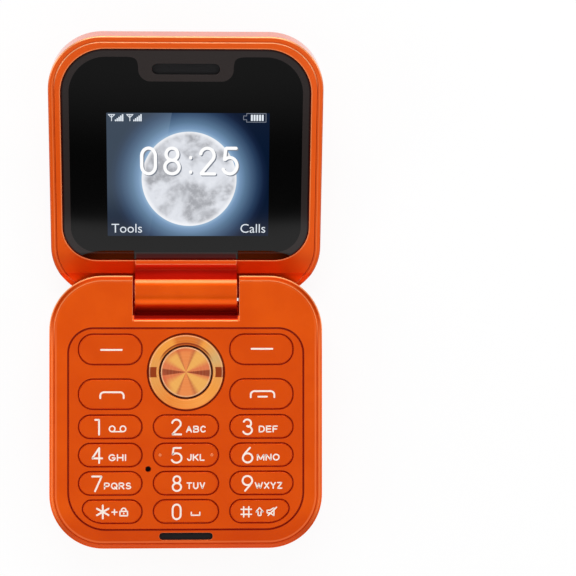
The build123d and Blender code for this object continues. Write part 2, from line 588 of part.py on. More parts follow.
def make_rear_shell():
    """Shallow tub with the floor, screw bosses, board posts and the strap pocket."""
    tub = prism(outline(BASE_WIDTH, BASE_LENGTH, CORNER_RADIUS), 0, PARTING_HEIGHT)
    tub = fillet(tub.faces().sort_by(Axis.Z)[0].edges(), REAR_EDGE_RADIUS)
    inner_width = BASE_WIDTH - 2 * SHELL_WALL
    inner_length = BASE_LENGTH - 2 * SHELL_WALL
    hollow = prism(outline(inner_width, inner_length, CORNER_RADIUS - SHELL_WALL),
                   SHELL_WALL, PARTING_HEIGHT)
    hollow &= block((-inner_width, inner_width), (-inner_length, CAVITY_END), (0, PARTING_HEIGHT))
    bosses = Part()
    for x, y in screw_places():
        bosses += drum(BOSS_RADIUS, SHELL_WALL, PARTING_HEIGHT, x, y)
    strap_end = -BASE_LENGTH / 2 + STRAP_POCKET_DEPTH
    strap_left, strap_right = STRAP_X - STRAP_POCKET_WIDTH / 2, STRAP_X + STRAP_POCKET_WIDTH / 2
    bosses += block((strap_left - SHELL_WALL, strap_right + SHELL_WALL),
                    (-BASE_LENGTH / 2 + SHELL_WALL, strap_end + SHELL_WALL), (SHELL_WALL, PARTING_HEIGHT))
    tub -= hollow - bosses
    for x, y in POST_PLACES:
        tub += drum(POST_RADIUS, SHELL_WALL, BOARD_BOTTOM, x, y)
    tub -= heel_ledge()
    tub -= hinge_notch()
    for x, y in screw_places():
        tub -= drum(SCREW_HEAD_RADIUS + SCREW_GAP, 0, SCREW_RECESS + SCREW_HEAD_HEIGHT, x, y)
        tub -= drum(SCREW_SHANK_RADIUS + SCREW_GAP, 0, PARTING_HEIGHT, x, y)
    tub -= block((strap_left, strap_right), (-BASE_LENGTH / 2, strap_end),
                 (STRAP_POCKET_Z - STRAP_POCKET_HEIGHT / 2, STRAP_POCKET_Z + STRAP_POCKET_HEIGHT / 2))
    return tub - strap_pin_body(SCREW_GAP)


def strap_pin_body(grow=0.0):
    """Upright steel pin across the strap pocket."""
    half = STRAP_POCKET_HEIGHT / 2 + STRAP_PIN_BURY + grow
    return drum(STRAP_PIN_RADIUS + grow, STRAP_POCKET_Z - half, STRAP_POCKET_Z + half,
                STRAP_X, -BASE_LENGTH / 2 + STRAP_PIN_SETBACK)


def tray_door(grow=0.0):
    """The SIM tray's door, or the hole that it closes, through the right wall."""
    door = RectangleRounded(TRAY_DOOR_LENGTH + 2 * grow, TRAY_DOOR_HEIGHT + 2 * grow,
                            TRAY_DOOR_HEIGHT / 2 + grow - TRAY_DOOR_FLAT)
    reach = TRAY_DOOR_THICKNESS if grow == 0 else FRAME_WALL
    face = Plane(origin=(BASE_WIDTH / 2 - reach, TRAY_Y, TRAY_Z), x_dir=(0, 1, 0), z_dir=(1, 0, 0))
    return extrude(face * door, amount=reach)


USB_Z = BOARD_BOTTOM - USB_HEIGHT / 2


def usb_body(width, height, radius, x_low, x_high):
    """Rounded bar through the left wall at the USB socket's place."""
    face = Plane(origin=(x_low, USB_Y, USB_Z), x_dir=(0, 1, 0), z_dir=(1, 0, 0))
    return extrude(face * RectangleRounded(width, height, radius), amount=x_high - x_low)


def slot_outline(grow=0.0):
    """The slot below the keypad."""
    return Pos(0, SLOT_Y) * SlotOverall(SLOT_WIDTH + 2 * grow, SLOT_HEIGHT + 2 * grow)


def make_front_frame():
    """Deep rim with two hinge shoulders and a ledge that carries the keypad panel."""
    rim = prism(outline(BASE_WIDTH, BASE_LENGTH, CORNER_RADIUS), PARTING_HEIGHT, BASE_THICKNESS)
    top = rim.faces().sort_by(Axis.Z)[-1]
    rim = chamfer(top.edges(), RIM_WIDTH, RIM_DROP, reference=top)
    inner_width = BASE_WIDTH - 2 * FRAME_WALL
    inner_length = BASE_LENGTH - 2 * FRAME_WALL
    hollow = prism(outline(inner_width, inner_length, CORNER_RADIUS - FRAME_WALL),
                   PARTING_HEIGHT, FRAME_CEILING)
    hollow &= block((-inner_width, inner_width), (-inner_length, CAVITY_END), (0, BASE_THICKNESS))
    lower_bosses = [drum(BOSS_RADIUS, PARTING_HEIGHT, FRAME_CEILING, x, y) for x, y in screw_places()[:2]]
    rim -= hollow - lower_bosses
    ledge = prism(panel_outline(PANEL_LEDGE_ROOT), PANEL_BOTTOM - PANEL_LEDGE_THICKNESS, FRAME_CEILING)
    rim += ledge & block((-BASE_WIDTH / 2, BASE_WIDTH / 2), (-BASE_LENGTH / 2, CAVITY_END),
                         (0, BASE_THICKNESS))
    rim -= prism(panel_outline(PANEL_GAP), PANEL_BOTTOM, BASE_THICKNESS)
    rim -= prism(panel_outline(-PANEL_LEDGE_WIDTH), PANEL_BOTTOM - PANEL_LEDGE_THICKNESS, PANEL_BOTTOM)
    rim -= prism(slot_outline(), FRAME_CEILING - SLOT_FLOOR_DROP, BASE_THICKNESS)
    rim -= hinge_notch()
    rim -= side_profile([(-NOTCH_RADIUS, HINGE_DEPTH - NOTCH_CHAMFER_DROP),
                         (-NOTCH_RADIUS - NOTCH_CHAMFER_WIDTH, HINGE_DEPTH),
                         (-NOTCH_RADIUS, HINGE_DEPTH)], -NOTCH_WIDTH / 2, NOTCH_WIDTH / 2)
    half = NOTCH_WIDTH / 2
    rim -= hinge_drum(SHAFT_RADIUS + CARTRIDGE_FIT, half, half + SHAFT_SOCKET_DEPTH)
    rim -= hinge_drum(BUSH_RADIUS + CARTRIDGE_FIT, -half - SHAFT_SOCKET_DEPTH, -half)
    rim -= cable_channel()
    for x, y in screw_places():
        rim -= drum(SCREW_SHANK_RADIUS + SCREW_GAP, PARTING_HEIGHT,
                    SCREW_RECESS + SCREW_LENGTH + SCREW_GAP, x, y)
    rim -= usb_body(USB_WIDTH + 2 * USB_HOLE_GAP, USB_HEIGHT + 2 * USB_HOLE_GAP,
                    USB_RADIUS + USB_HOLE_GAP, -BASE_WIDTH / 2, -BASE_WIDTH / 2 + FRAME_WALL)
    return rim - tray_door(TRAY_GAP)


def cable_channel():
    """Tunnel from the board's space to the left hinge socket."""
    half = FLEX_WIDTH / 2 + FLEX_CHANNEL_GAP
    return block((CHANNEL_X - half, CHANNEL_X + half), (CAVITY_END, HINGE_Y + BUSH_BORE_RADIUS),
                 (HINGE_Z - BUSH_BORE_RADIUS / 2, HINGE_Z + BUSH_BORE_RADIUS / 2))


def make_keypad_panel():
    """Plate with a hole for each key, the ring and the microphone."""
    panel = prism(panel_outline(), PANEL_BOTTOM, BASE_THICKNESS)
    for key in key_table():
        panel -= prism(key_outline(key, KEY_GAP), PANEL_BOTTOM, BASE_THICKNESS)
    panel -= drum(NAV_RING_RADIUS + NAV_RING_GAP, PANEL_BOTTOM, BASE_THICKNESS, 0, NAV_Y)
    return panel - drum(MIC_HOLE_RADIUS, PANEL_BOTTOM, BASE_THICKNESS, MIC_X, MIC_Y)


# --------------------------------------------------------------- inside the base half
def board_outline(inset=0.0):
    """Outline of the board and of the sheets that lie on it."""
    width, length = BOARD_WIDTH - 2 * inset, BOARD_LENGTH - 2 * inset
    return two_radius_outline(width, length, BOARD_TOP_RADIUS, BOARD_CORNER_RADIUS - inset,
                              BOARD_END - BOARD_LENGTH / 2)


def microphone_window(low, high):
    """Square hole that clears the microphone."""
    half = MIC_SIZE / 2 + PART_GAP
    return block((MIC_X - half, MIC_X + half), (MIC_Y - half, MIC_Y + half), (low, high))


def make_keypad_mat():
    """Silicone sheet under the keys, standing on a thin rim."""
    mat = prism(board_outline(MAT_INSET), DOME_SHEET_TOP, MAT_TOP)
    mat -= prism(board_outline(MAT_INSET + MAT_RIM_WIDTH), DOME_SHEET_TOP, MAT_BOTTOM)
    return mat - microphone_window(DOME_SHEET_TOP, MAT_TOP)


def make_dome_sheet():
    """Film with a snap dome under every key, four under the ring and one under OK."""
    sheet = prism(board_outline(MAT_INSET), BOARD_TOP, DOME_SHEET_TOP)
    sheet -= microphone_window(BOARD_TOP, DOME_SHEET_TOP)
    ring_reach = (NAV_RING_RADIUS + NAV_RING_HOLE_RADIUS) / 2
    places = [(x, y) for _, x, y, _, _, _ in key_table()]
    places += [(0, NAV_Y), (ring_reach, NAV_Y), (-ring_reach, NAV_Y),
               (0, NAV_Y + ring_reach), (0, NAV_Y - ring_reach)]
    for x, y in places:
        sheet += Pos(x, y, DOME_SHEET_TOP + DOME_RISE / 2) * Cone(DOME_RADIUS, DOME_TOP_RADIUS, DOME_RISE)
    return sheet


def make_board():
    """Main circuit board."""
    return prism(board_outline(), BOARD_BOTTOM, BOARD_TOP)


def shield_box(inset=0.0):
    """The shield can's box, shrunk inwards."""
    return block((-SHIELD_WIDTH / 2 + inset, SHIELD_WIDTH / 2 - inset),
                 (SHIELD_Y - SHIELD_LENGTH / 2 + inset, SHIELD_Y + SHIELD_LENGTH / 2 - inset),
                 (BOARD_BOTTOM - SHIELD_HEIGHT + inset, BOARD_BOTTOM))


def make_chips():
    """Three packages soldered to the board inside the shield can."""
    chips = Part()
    for across, along, share in CHIP_SHARES:
        x, y = across * SHIELD_WIDTH, SHIELD_Y + along * SHIELD_LENGTH
        half = share * SHIELD_LENGTH / 2
        chips += block((x - half, x + half), (y - half, y + half),
                       (BOARD_BOTTOM - CHIP_HEIGHT, BOARD_BOTTOM))
    return chips


def make_battery():
    """Flat lithium cell."""
    cell = prism(outline(BATTERY_WIDTH, BATTERY_LENGTH, BATTERY_RADIUS, 0, BATTERY_Y),
                 BATTERY_BOTTOM, BATTERY_BOTTOM + BATTERY_THICKNESS)
    return fillet(cell.edges().filter_by(GeomType.LINE).filter_by(Axis.Y), BATTERY_RADIUS)


def make_loudspeaker():
    """Rectangular speaker below the board, under the slot."""
    low_y = -BASE_LENGTH / 2 + FRAME_WALL + PART_GAP
    sheet = outline(SPEAKER_WIDTH, SPEAKER_LENGTH, SPEAKER_RADIUS, 0, low_y + SPEAKER_LENGTH / 2)
    return prism(sheet, BOARD_BOTTOM - SPEAKER_HEIGHT, BOARD_BOTTOM)


def make_antenna():
    """Antenna carrier along the lower wall, beside the board's edge."""
    low_y = -BASE_LENGTH / 2 + FRAME_WALL + PART_GAP
    return block((ANTENNA_START, ANTENNA_END), (low_y, low_y + ANTENNA_THICKNESS),
                 (BOARD_TOP - ANTENNA_HEIGHT, BOARD_TOP))


def make_usb_shell():
    """Drawn steel shell of the USB socket, open to the left."""
    x_low = -BASE_WIDTH / 2 + USB_SETBACK
    shell = usb_body(USB_WIDTH, USB_HEIGHT, USB_RADIUS, x_low, x_low + USB_DEPTH)
    return shell - usb_body(USB_WIDTH - 2 * USB_WALL, USB_HEIGHT - 2 * USB_WALL, USB_RADIUS - USB_WALL,
                            x_low, x_low + USB_DEPTH - USB_WALL)


def make_usb_tongue():
    """Contact tongue on the socket's rear wall."""
    x_high = -BASE_WIDTH / 2 + USB_SETBACK + USB_DEPTH - USB_WALL
    return block((x_high - USB_TONGUE_LENGTH, x_high),
                 (USB_Y - USB_TONGUE_WIDTH / 2, USB_Y + USB_TONGUE_WIDTH / 2),
                 (USB_Z - USB_TONGUE_THICKNESS / 2, USB_Z + USB_TONGUE_THICKNESS / 2))


BLADE_INNER = BASE_WIDTH / 2 - TRAY_DOOR_THICKNESS - TRAY_BLADE_LENGTH


def tray_blade(grow=0.0):
    """The SIM tray's blade, or the tunnel that it slides in."""
    half = TRAY_BLADE_WIDTH / 2 + grow
    return block((BLADE_INNER - grow, BASE_WIDTH / 2 - TRAY_DOOR_THICKNESS),
                 (TRAY_BLADE_Y - half, TRAY_BLADE_Y + half),
                 (TRAY_Z - TRAY_BLADE_THICKNESS / 2 - grow, TRAY_Z + TRAY_BLADE_THICKNESS / 2 + grow))


def make_sim_tray():
    """Door and blade with a card pocket and an eject hole."""
    tray = tray_door() + tray_blade()
    pocket_high = BLADE_INNER + (TRAY_BLADE_LENGTH + CARD_LENGTH) / 2
    tray -= block((pocket_high - CARD_LENGTH, pocket_high),
                  (TRAY_BLADE_Y - CARD_WIDTH / 2, TRAY_BLADE_Y + CARD_WIDTH / 2),
                  (TRAY_Z + TRAY_BLADE_THICKNESS / 2 - CARD_POCKET_DEPTH, TRAY_Z + TRAY_BLADE_THICKNESS / 2))
    hole = Pos(BASE_WIDTH / 2 - TRAY_DOOR_THICKNESS / 2, TRAY_Y + EJECT_HOLE_SHIFT, TRAY_Z) * Rot(0, 90, 0)
    return tray - hole * Cylinder(EJECT_HOLE_RADIUS, TRAY_DOOR_THICKNESS)


def make_sim_socket():
    """Steel cage that guides the tray, soldered under the board."""
    low = TRAY_Z - TRAY_BLADE_THICKNESS / 2 - TRAY_GAP - SOCKET_WALL
    cage = block((BLADE_INNER - TRAY_GAP - SOCKET_WALL, BASE_WIDTH / 2 - FRAME_WALL - TRAY_GAP),
                 (TRAY_BLADE_Y - SOCKET_HALF_WIDTH, TRAY_BLADE_Y + SOCKET_HALF_WIDTH), (low, BOARD_BOTTOM))
    return cage - tray_blade(TRAY_GAP)


# ------------------------------------------------------------------- inside the hinge
def make_hinge_shaft():
    """Shaft with its cam: fixed in the right shoulder, it reaches into the cartridge."""
    half = NOTCH_WIDTH / 2
    cam_x = BARREL_LENGTH / 2 - CARTRIDGE_WALL - SHAFT_FIT - CAM_THICKNESS
    shaft = hinge_drum(SHAFT_RADIUS, cam_x, half + SHAFT_SOCKET_DEPTH - SHAFT_END_PLAY)
    shaft += hinge_drum(CAM_RADIUS, cam_x, cam_x + CAM_THICKNESS)
    return shaft, cam_x


def make_hinge_cartridge():
    """Thin steel tube with a closed end on the left and a collar round the shaft."""
    right = BARREL_LENGTH / 2
    left = right - CARTRIDGE_LENGTH
    tube = hinge_drum(CARTRIDGE_RADIUS, left, right)
    tube -= hinge_drum(CARTRIDGE_RADIUS - CARTRIDGE_WALL, left + CARTRIDGE_WALL, right - CARTRIDGE_WALL)
    return tube - hinge_drum(SHAFT_RADIUS + SHAFT_FIT, right - CARTRIDGE_WALL, right)


def make_hinge_follower(cam_x):
    """Cam follower: a thick ring pressed against the cam by the spring."""
    radius = CARTRIDGE_RADIUS - CARTRIDGE_WALL - SHAFT_FIT
    ring = hinge_drum(radius, cam_x - SHAFT_FIT - FOLLOWER_THICKNESS, cam_x - SHAFT_FIT)
    return ring - hinge_drum(FOLLOWER_HOLE_RADIUS, cam_x - SHAFT_FIT - FOLLOWER_THICKNESS, cam_x - SHAFT_FIT)


def make_hinge_spring(cam_x):
    """Coil spring between the cartridge's closed end and the follower."""
    left = BARREL_LENGTH / 2 - CARTRIDGE_LENGTH + CARTRIDGE_WALL
    right = cam_x - SHAFT_FIT - FOLLOWER_THICKNESS
    room = right - left - 2 * SPRING_WIRE_RADIUS - 2 * SHAFT_FIT
    path = Helix(pitch=room / SPRING_TURNS, height=room, radius=SPRING_COIL_RADIUS)
    start = Plane(origin=path @ 0, z_dir=path % 0)
    coil = sweep(start * Circle(SPRING_WIRE_RADIUS), path=path)
    return Pos(left + SPRING_WIRE_RADIUS + SHAFT_FIT, HINGE_Y, HINGE_Z) * Rot(0, 90, 0) * coil


def make_hinge_bush():
    """Hollow bush in the left shoulder, which the cable runs through."""
    half = NOTCH_WIDTH / 2
    bush = hinge_drum(BUSH_RADIUS, -half - SHAFT_SOCKET_DEPTH + SHAFT_END_PLAY, -half + BUSH_REACH)
    bush -= hinge_drum(BUSH_BORE_RADIUS, -half - SHAFT_SOCKET_DEPTH + SHAFT_END_PLAY, -half + BUSH_REACH)
    return bush - cable_channel()


def make_base_cable():
    """Flat cable from the board, through the shoulder and into the bush."""
    z = (HINGE_Z - FLEX_THICKNESS / 2, HINGE_Z + FLEX_THICKNESS / 2)
    x = (CHANNEL_X - FLEX_WIDTH / 2, CHANNEL_X + FLEX_WIDTH / 2)
    plug_end = BOARD_END - FLEX_PLUG_INSET
    folded = FLEX_WIDTH / 4                         # half the width of the cable folded in two
    run = block(x, (plug_end - FLEX_PLUG_LENGTH, HINGE_Y + folded), z)
    run += block((CHANNEL_X, -NOTCH_WIDTH / 2 + BUSH_REACH - FLEX_WIDTH),
                 (HINGE_Y - folded, HINGE_Y + folded), z)
    return run + block(x, (plug_end - FLEX_PLUG_LENGTH, plug_end), (z[0], BOARD_BOTTOM))


# --------------------------------------------------------------------------- the lid
def heel_bevel(reach):
    """What lies beyond the lid's sloping heel at the given distance from the hinge axis."""
    near, far = HINGE_INSET + CUT_MARGIN, BASE_LENGTH
    high = (reach + far * SIN_TILT) / COS_TILT
    half = BASE_WIDTH / 2 + CUT_MARGIN
    return side_profile([(near, (reach - near * SIN_TILT) / COS_TILT), (-far, high), (near, high)],
                        -half, half)


def shoulder_relief():
    """Shallow trough in the lid's chin that the base's shoulders roll past."""
    half = NOTCH_WIDTH / 2 - BARREL_END_GAP
    trough = hinge_drum(RELIEF_RADIUS, -BASE_WIDTH, -half)
    return trough + hinge_drum(RELIEF_RADIUS, half, BASE_WIDTH)


def make_lid_outer_shell():
    """Outer tray of the lid with a rim round the inner face and a bevelled heel."""
    tray = lid_prism(outline(BASE_WIDTH, BASE_LENGTH, CORNER_RADIUS), 0, LID_THICKNESS)
    tray = fillet(tray.faces().sort_by(Axis.Z)[-1].edges(), LID_EDGE_RADIUS)
    tray = chamfer(tray.faces().sort_by(Axis.Z)[0].edges(), LID_RIM_DROP)
    tray -= heel_bevel(HEEL_REACH)
    for x, y in lid_screw_places():
        tray -= drum(SCREW_SHANK_RADIUS + SCREW_GAP, LID_FACE_Z,
                     LID_FACE_Z + SEAT_TOP_DEPTH + LID_SCREW_LENGTH + SCREW_GAP, x, y)
    return tray - lid_hollow(0) - shoulder_relief()


def lid_hollow(inset):
    """The space inside the outer shell, shrunk inwards."""
    hollow = lid_prism(outline(BASE_WIDTH - 2 * (LID_RIM + inset), BASE_LENGTH - 2 * (LID_RIM + inset),
                               CORNER_RADIUS - LID_RIM - inset), 0, LID_CAVITY_DEPTH - inset)
    return hollow - heel_bevel(HEEL_REACH - LID_FLOOR - inset)


def display_outline(grow=0.0):
    """Outline of the display module, which has a wider border at its foot."""
    width = SCREEN_WIDTH + 2 * DISPLAY_SIDE_BORDER + 2 * grow
    length = SCREEN_LENGTH + DISPLAY_TOP_BORDER + DISPLAY_FOOT_BORDER + 2 * grow
    middle = SCREEN_START + (SCREEN_LENGTH + DISPLAY_TOP_BORDER - DISPLAY_FOOT_BORDER) / 2
    return Pos(SCREEN_X, HINGE_Y - middle) * Rectangle(width, length)


def ear_outline(width, height):
    """Slot at the earpiece's place."""
    return Pos(0, HINGE_Y - EAR_SLOT_S) * SlotOverall(width, height)


def glass_outline(grow=0.0):
    """The cover glass's outline, grown outwards on every side."""
    return two_radius_outline(GLASS_WIDTH + 2 * grow, GLASS_LENGTH + 2 * grow,
                              GLASS_FOOT_RADIUS + grow, GLASS_FAR_RADIUS + grow, GLASS_Y)


def lid_screw_places():
    """Where the four lid screws stand, under the glass."""
    return [(side * LID_SCREW_X, HINGE_Y - s)
            for s in (LID_SCREW_NEAR_S, LID_SCREW_FAR_S) for side in (-1, 1)]


def make_lid_inner_frame():
    """Inner frame: the glass's seat, the chin, and the hinge web and barrel in one casting."""
    frame = lid_hollow(CARTRIDGE_FIT)
    frame -= shoulder_relief()
    frame -= lid_prism(glass_outline(GLASS_GAP), 0, SEAT_TOP_DEPTH)
    frame -= lid_prism(display_outline(DISPLAY_FIT), SEAT_TOP_DEPTH, SEAT_BOTTOM_DEPTH)
    frame -= lid_prism(ear_outline(EAR_SOUND_WIDTH, EAR_SOUND_HEIGHT), SEAT_TOP_DEPTH, SEAT_BOTTOM_DEPTH)
    inset = LID_RIM + CARTRIDGE_FIT + LID_FRAME_WALL
    room = lid_prism(outline(BASE_WIDTH - 2 * inset, BASE_LENGTH - 2 * inset, CORNER_RADIUS - inset),
                     SEAT_BOTTOM_DEPTH, LID_CAVITY_DEPTH)
    room &= lid_block((-BASE_WIDTH, BASE_WIDTH), (WEB_REACH + SHELL_WALL, BASE_LENGTH), (0, LID_THICKNESS))
    for x, y in lid_screw_places():
        room -= drum(LID_BOSS_RADIUS, LID_FACE_Z, LID_FACE_Z + LID_THICKNESS, x, y)
    frame -= room
    for x, y in lid_screw_places():
        frame -= drum(SCREW_HEAD_RADIUS + SCREW_GAP, LID_FACE_Z + SEAT_TOP_DEPTH,
                      LID_FACE_Z + SEAT_TOP_DEPTH + SCREW_HEAD_HEIGHT, x, y)
        frame -= drum(SCREW_SHANK_RADIUS + SCREW_GAP, LID_FACE_Z, LID_FACE_Z + LID_THICKNESS, x, y)
    half = BARREL_LENGTH / 2
    frame += lid_block((-half, half), (-HINGE_INSET, WEB_REACH), (-LID_PLANE_REACH, 0))
    frame += hinge_drum(BARREL_RADIUS, -half, half)
    frame -= hinge_drum(CARTRIDGE_RADIUS + CARTRIDGE_FIT, half - CARTRIDGE_LENGTH - CABLE_CHAMBER, half)
    frame -= hinge_drum(BUSH_RADIUS + SHAFT_FIT, -half, half - CARTRIDGE_LENGTH)
    return frame - lid_cable_body(FLEX_CHANNEL_GAP)


def lid_cable_body(grow=0.0):
    """The display cable's run: out of the barrel, along the sloping heel, onto the lid board."""
    middle = BARREL_LENGTH / 2 - CARTRIDGE_LENGTH - CABLE_CHAMBER / 2
    x = (middle - FLEX_WIDTH / 2 - grow, middle + FLEX_WIDTH / 2 + grow)
    low = HEEL_REACH - LID_FLOOR - FLEX_SETBACK - FLEX_THICKNESS - grow
    high = HEEL_REACH - LID_FLOOR - FLEX_SETBACK + grow
    board_back = LID_PLANE_REACH + LID_BOARD_DEPTH + LID_BOARD_THICKNESS
    near = FLEX_THICKNESS / 2 + grow
    far = ((board_back + FLEX_THICKNESS + grow) * COS_TILT - high) / SIN_TILT
    slope = side_profile([(near, (low - near * SIN_TILT) / COS_TILT),
                          (near, (high - near * SIN_TILT) / COS_TILT),
                          (-far, (high + far * SIN_TILT) / COS_TILT),
                          (-far, (low + far * SIN_TILT) / COS_TILT)], *x)
    riser_end = (low + near * SIN_TILT) / COS_TILT - LID_PLANE_REACH
    riser = lid_block(x, (-near, near), (-LID_PLANE_REACH, riser_end))
    run = lid_block(x, (far - near, LID_BOARD_START + FLEX_WIDTH),
                    (LID_BOARD_DEPTH + LID_BOARD_THICKNESS - grow,
                     LID_BOARD_DEPTH + LID_BOARD_THICKNESS + FLEX_THICKNESS + grow))
    return riser + slope + run


def make_lid_glass():
    """Cover glass with rounded corners, bevelled edges and the earpiece slot."""
    glass = lid_prism(glass_outline(), GLASS_RECESS, GLASS_RECESS + GLASS_THICKNESS)
    glass = chamfer(glass.faces().sort_by(Axis.Z)[0].edges(), GLASS_EDGE)
    return glass - lid_prism(ear_outline(EAR_SLOT_WIDTH, EAR_SLOT_HEIGHT), 0, LID_THICKNESS)


def make_earpiece_mesh():
    """Woven screen at the bottom of the glass's slot."""
    low = GLASS_RECESS + EAR_MESH_SETBACK
    sheet = ear_outline(EAR_SLOT_WIDTH - 2 * MESH_GAP, EAR_SLOT_HEIGHT - 2 * MESH_GAP)
    return lid_prism(sheet, low, SEAT_TOP_DEPTH)


def make_earpiece():
    """Small speaker behind the seat."""
    return lid_prism(outline(EARPIECE_WIDTH, EARPIECE_LENGTH, EARPIECE_RADIUS, 0, HINGE_Y - EAR_SLOT_S),
                     SEAT_BOTTOM_DEPTH, SEAT_BOTTOM_DEPTH + EARPIECE_HEIGHT)


def make_display_tray():
    """Steel sheet behind the backlight."""
    return lid_prism(display_outline(), DISPLAY_TRAY_DEPTH, DISPLAY_TRAY_DEPTH + TRAY_SHEET)


def make_lid_board():
    """Small board behind the display."""
    return lid_block((-LID_BOARD_WIDTH / 2, LID_BOARD_WIDTH / 2),
                     (LID_BOARD_START, LID_BOARD_START + LID_BOARD_LENGTH),
                     (LID_BOARD_DEPTH, LID_BOARD_DEPTH + LID_BOARD_THICKNESS))


def make_magnet():
    """Magnet that tells the base when the lid is shut."""
    return lid_block((MAGNET_X - MAGNET_WIDTH / 2, MAGNET_X + MAGNET_WIDTH / 2),
                     (EAR_SLOT_S - MAGNET_LENGTH / 2, EAR_SLOT_S + MAGNET_LENGTH / 2),
                     (SEAT_BOTTOM_DEPTH, SEAT_BOTTOM_DEPTH + MAGNET_THICKNESS))


def make_lid_screws():
    """Four screws from the glass's seat into the outer shell's side."""
    head = LID_FACE_Z + SEAT_TOP_DEPTH
    return Part() + [screw(x, y, head, LID_SCREW_LENGTH) for x, y in lid_screw_places()]


# ------------------------------------------------------------------ put together
def base_nodes():
    """Everything that stays with the base, and the keys, ring, button and tray."""
    shaft, cam_x = make_hinge_shaft()
    nodes = {
        "rear_shell": make_rear_shell(),
        "front_frame": make_front_frame(),
        "keypad_panel": make_keypad_panel(),
        "keypad_mat": make_keypad_mat(),
        "dome_sheet": make_dome_sheet(),
        "main_board": make_board(),
        "shield_can": shield_box() - shield_box(SHIELD_WALL),
        "board_chips": make_chips(),
        "battery": make_battery(),
        "battery_pad": prism(outline(BATTERY_WIDTH - 2 * PAD_INSET, BATTERY_LENGTH - 2 * PAD_INSET,
                                     BATTERY_RADIUS, 0, BATTERY_Y), SHELL_WALL, BATTERY_BOTTOM),
        "microphone": Pos(MIC_X, MIC_Y, BOARD_TOP + MIC_HEIGHT / 2) * Box(MIC_SIZE, MIC_SIZE, MIC_HEIGHT),
        "vibration_motor": drum((MOTOR_RIGHT - MOTOR_LEFT) / 2, BOARD_BOTTOM - MOTOR_HEIGHT, BOARD_BOTTOM,
                                MOTOR_X, MOTOR_Y),
        "loudspeaker": make_loudspeaker(),
        "antenna": make_antenna(),
        "slot_mesh": prism(slot_outline(-MESH_GAP), BASE_THICKNESS - MESH_RECESS - MESH_THICKNESS,
                           BASE_THICKNESS - MESH_RECESS),
        "usb_socket": make_usb_shell(),
        "usb_tongue": make_usb_tongue(),
        "sim_socket": make_sim_socket(),
        "strap_pin": strap_pin_body(),
        "base_screws": Part() + [screw(x, y, SCREW_RECESS, SCREW_LENGTH) for x, y in screw_places()],
        "hinge_bush": make_hinge_bush(),
        "hinge_shaft": shaft,
        "base_cable": make_base_cable(),
        "sim_tray": make_sim_tray(),
        "nav_rocker": make_nav_rocker(),
        "nav_ring": make_nav_ring(),
        "ok_button": make_ok_button(),
    }
    nodes.update({key[0]: make_key(key) for key in key_table()})
    return nodes, cam_x


def lid_nodes(cam_x):
    """Everything that swings with the lid, built shut."""
    return {
        "lid_outer_shell": make_lid_outer_shell(),
        "lid_inner_frame": make_lid_inner_frame(),
        "lid_glass": make_lid_glass(),
        "display_panel": lid_prism(display_outline(), DISPLAY_TOP_DEPTH, BACKLIGHT_TOP_DEPTH),
        "backlight": lid_prism(display_outline(), BACKLIGHT_TOP_DEPTH, DISPLAY_TRAY_DEPTH),
        "display_tray": make_display_tray(),
        "lid_board": make_lid_board(),
        "earpiece_mesh": make_earpiece_mesh(),
        "earpiece": make_earpiece(),
        "lid_magnet": make_magnet(),
        "lid_cable": lid_cable_body(),
        "lid_screws": make_lid_screws(),
        "hinge_cartridge": make_hinge_cartridge(),
        "hinge_follower": make_hinge_follower(cam_x),
        "hinge_spring": make_hinge_spring(cam_x),
    }


def main():
    """Write one STEP file per piece."""
    os.makedirs("parts", exist_ok=True)
    pieces, cam_x = base_nodes()
    pieces.update({name: opened(piece) for name, piece in lid_nodes(cam_x).items()})
    for name, piece in pieces.items():
        export_step(piece, "parts/" + name + ".step")
    return pieces


main()
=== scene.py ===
"""Looks of the flip phone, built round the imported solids.

Metres, in the part's own frame: +Z out of the keypad, +Y from the keys towards the lid.
On the lid, "along" runs from the hinge's foot to the far end and "up" out of the glass.
"""

import json
import math

import bpy
import numpy as np
from mathutils import Matrix, Vector


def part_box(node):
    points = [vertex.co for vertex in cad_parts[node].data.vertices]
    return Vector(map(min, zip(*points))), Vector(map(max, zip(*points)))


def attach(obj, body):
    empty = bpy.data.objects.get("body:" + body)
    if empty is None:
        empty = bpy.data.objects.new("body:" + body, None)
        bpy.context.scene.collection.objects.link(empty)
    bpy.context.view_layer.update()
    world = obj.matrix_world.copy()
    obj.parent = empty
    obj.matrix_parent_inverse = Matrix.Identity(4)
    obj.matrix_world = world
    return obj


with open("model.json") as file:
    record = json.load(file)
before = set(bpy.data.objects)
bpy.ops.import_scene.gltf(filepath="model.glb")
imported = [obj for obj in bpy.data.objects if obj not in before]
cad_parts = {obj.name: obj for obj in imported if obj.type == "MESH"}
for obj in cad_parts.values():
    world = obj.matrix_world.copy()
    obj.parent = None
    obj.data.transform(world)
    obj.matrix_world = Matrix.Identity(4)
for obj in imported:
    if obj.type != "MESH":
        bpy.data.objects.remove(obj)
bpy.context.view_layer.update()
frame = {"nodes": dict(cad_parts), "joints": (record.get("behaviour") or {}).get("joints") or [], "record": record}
nodes = frame["nodes"]
MM = 0.001
BLACK, WHITE = (0, 0, 0, 1), (1, 1, 1, 1)

# ---- places on the phone
HINGE = next(joint for joint in frame["joints"] if joint["name"] == "lid_hinge")
HINGE_AXIS = Vector(HINGE["pos_m"])
OPEN_TURN = math.radians(HINGE["range_deg"][1])
LID_REACH = 5.05 * MM  # hinge axis to the lid's inner face
LID_ALONG = Vector((0, -math.cos(OPEN_TURN), math.sin(OPEN_TURN)))
LID_UP = Vector((0, -math.sin(OPEN_TURN), -math.cos(OPEN_TURN)))
LID_FOOT = HINGE_AXIS - LID_UP * LID_REACH

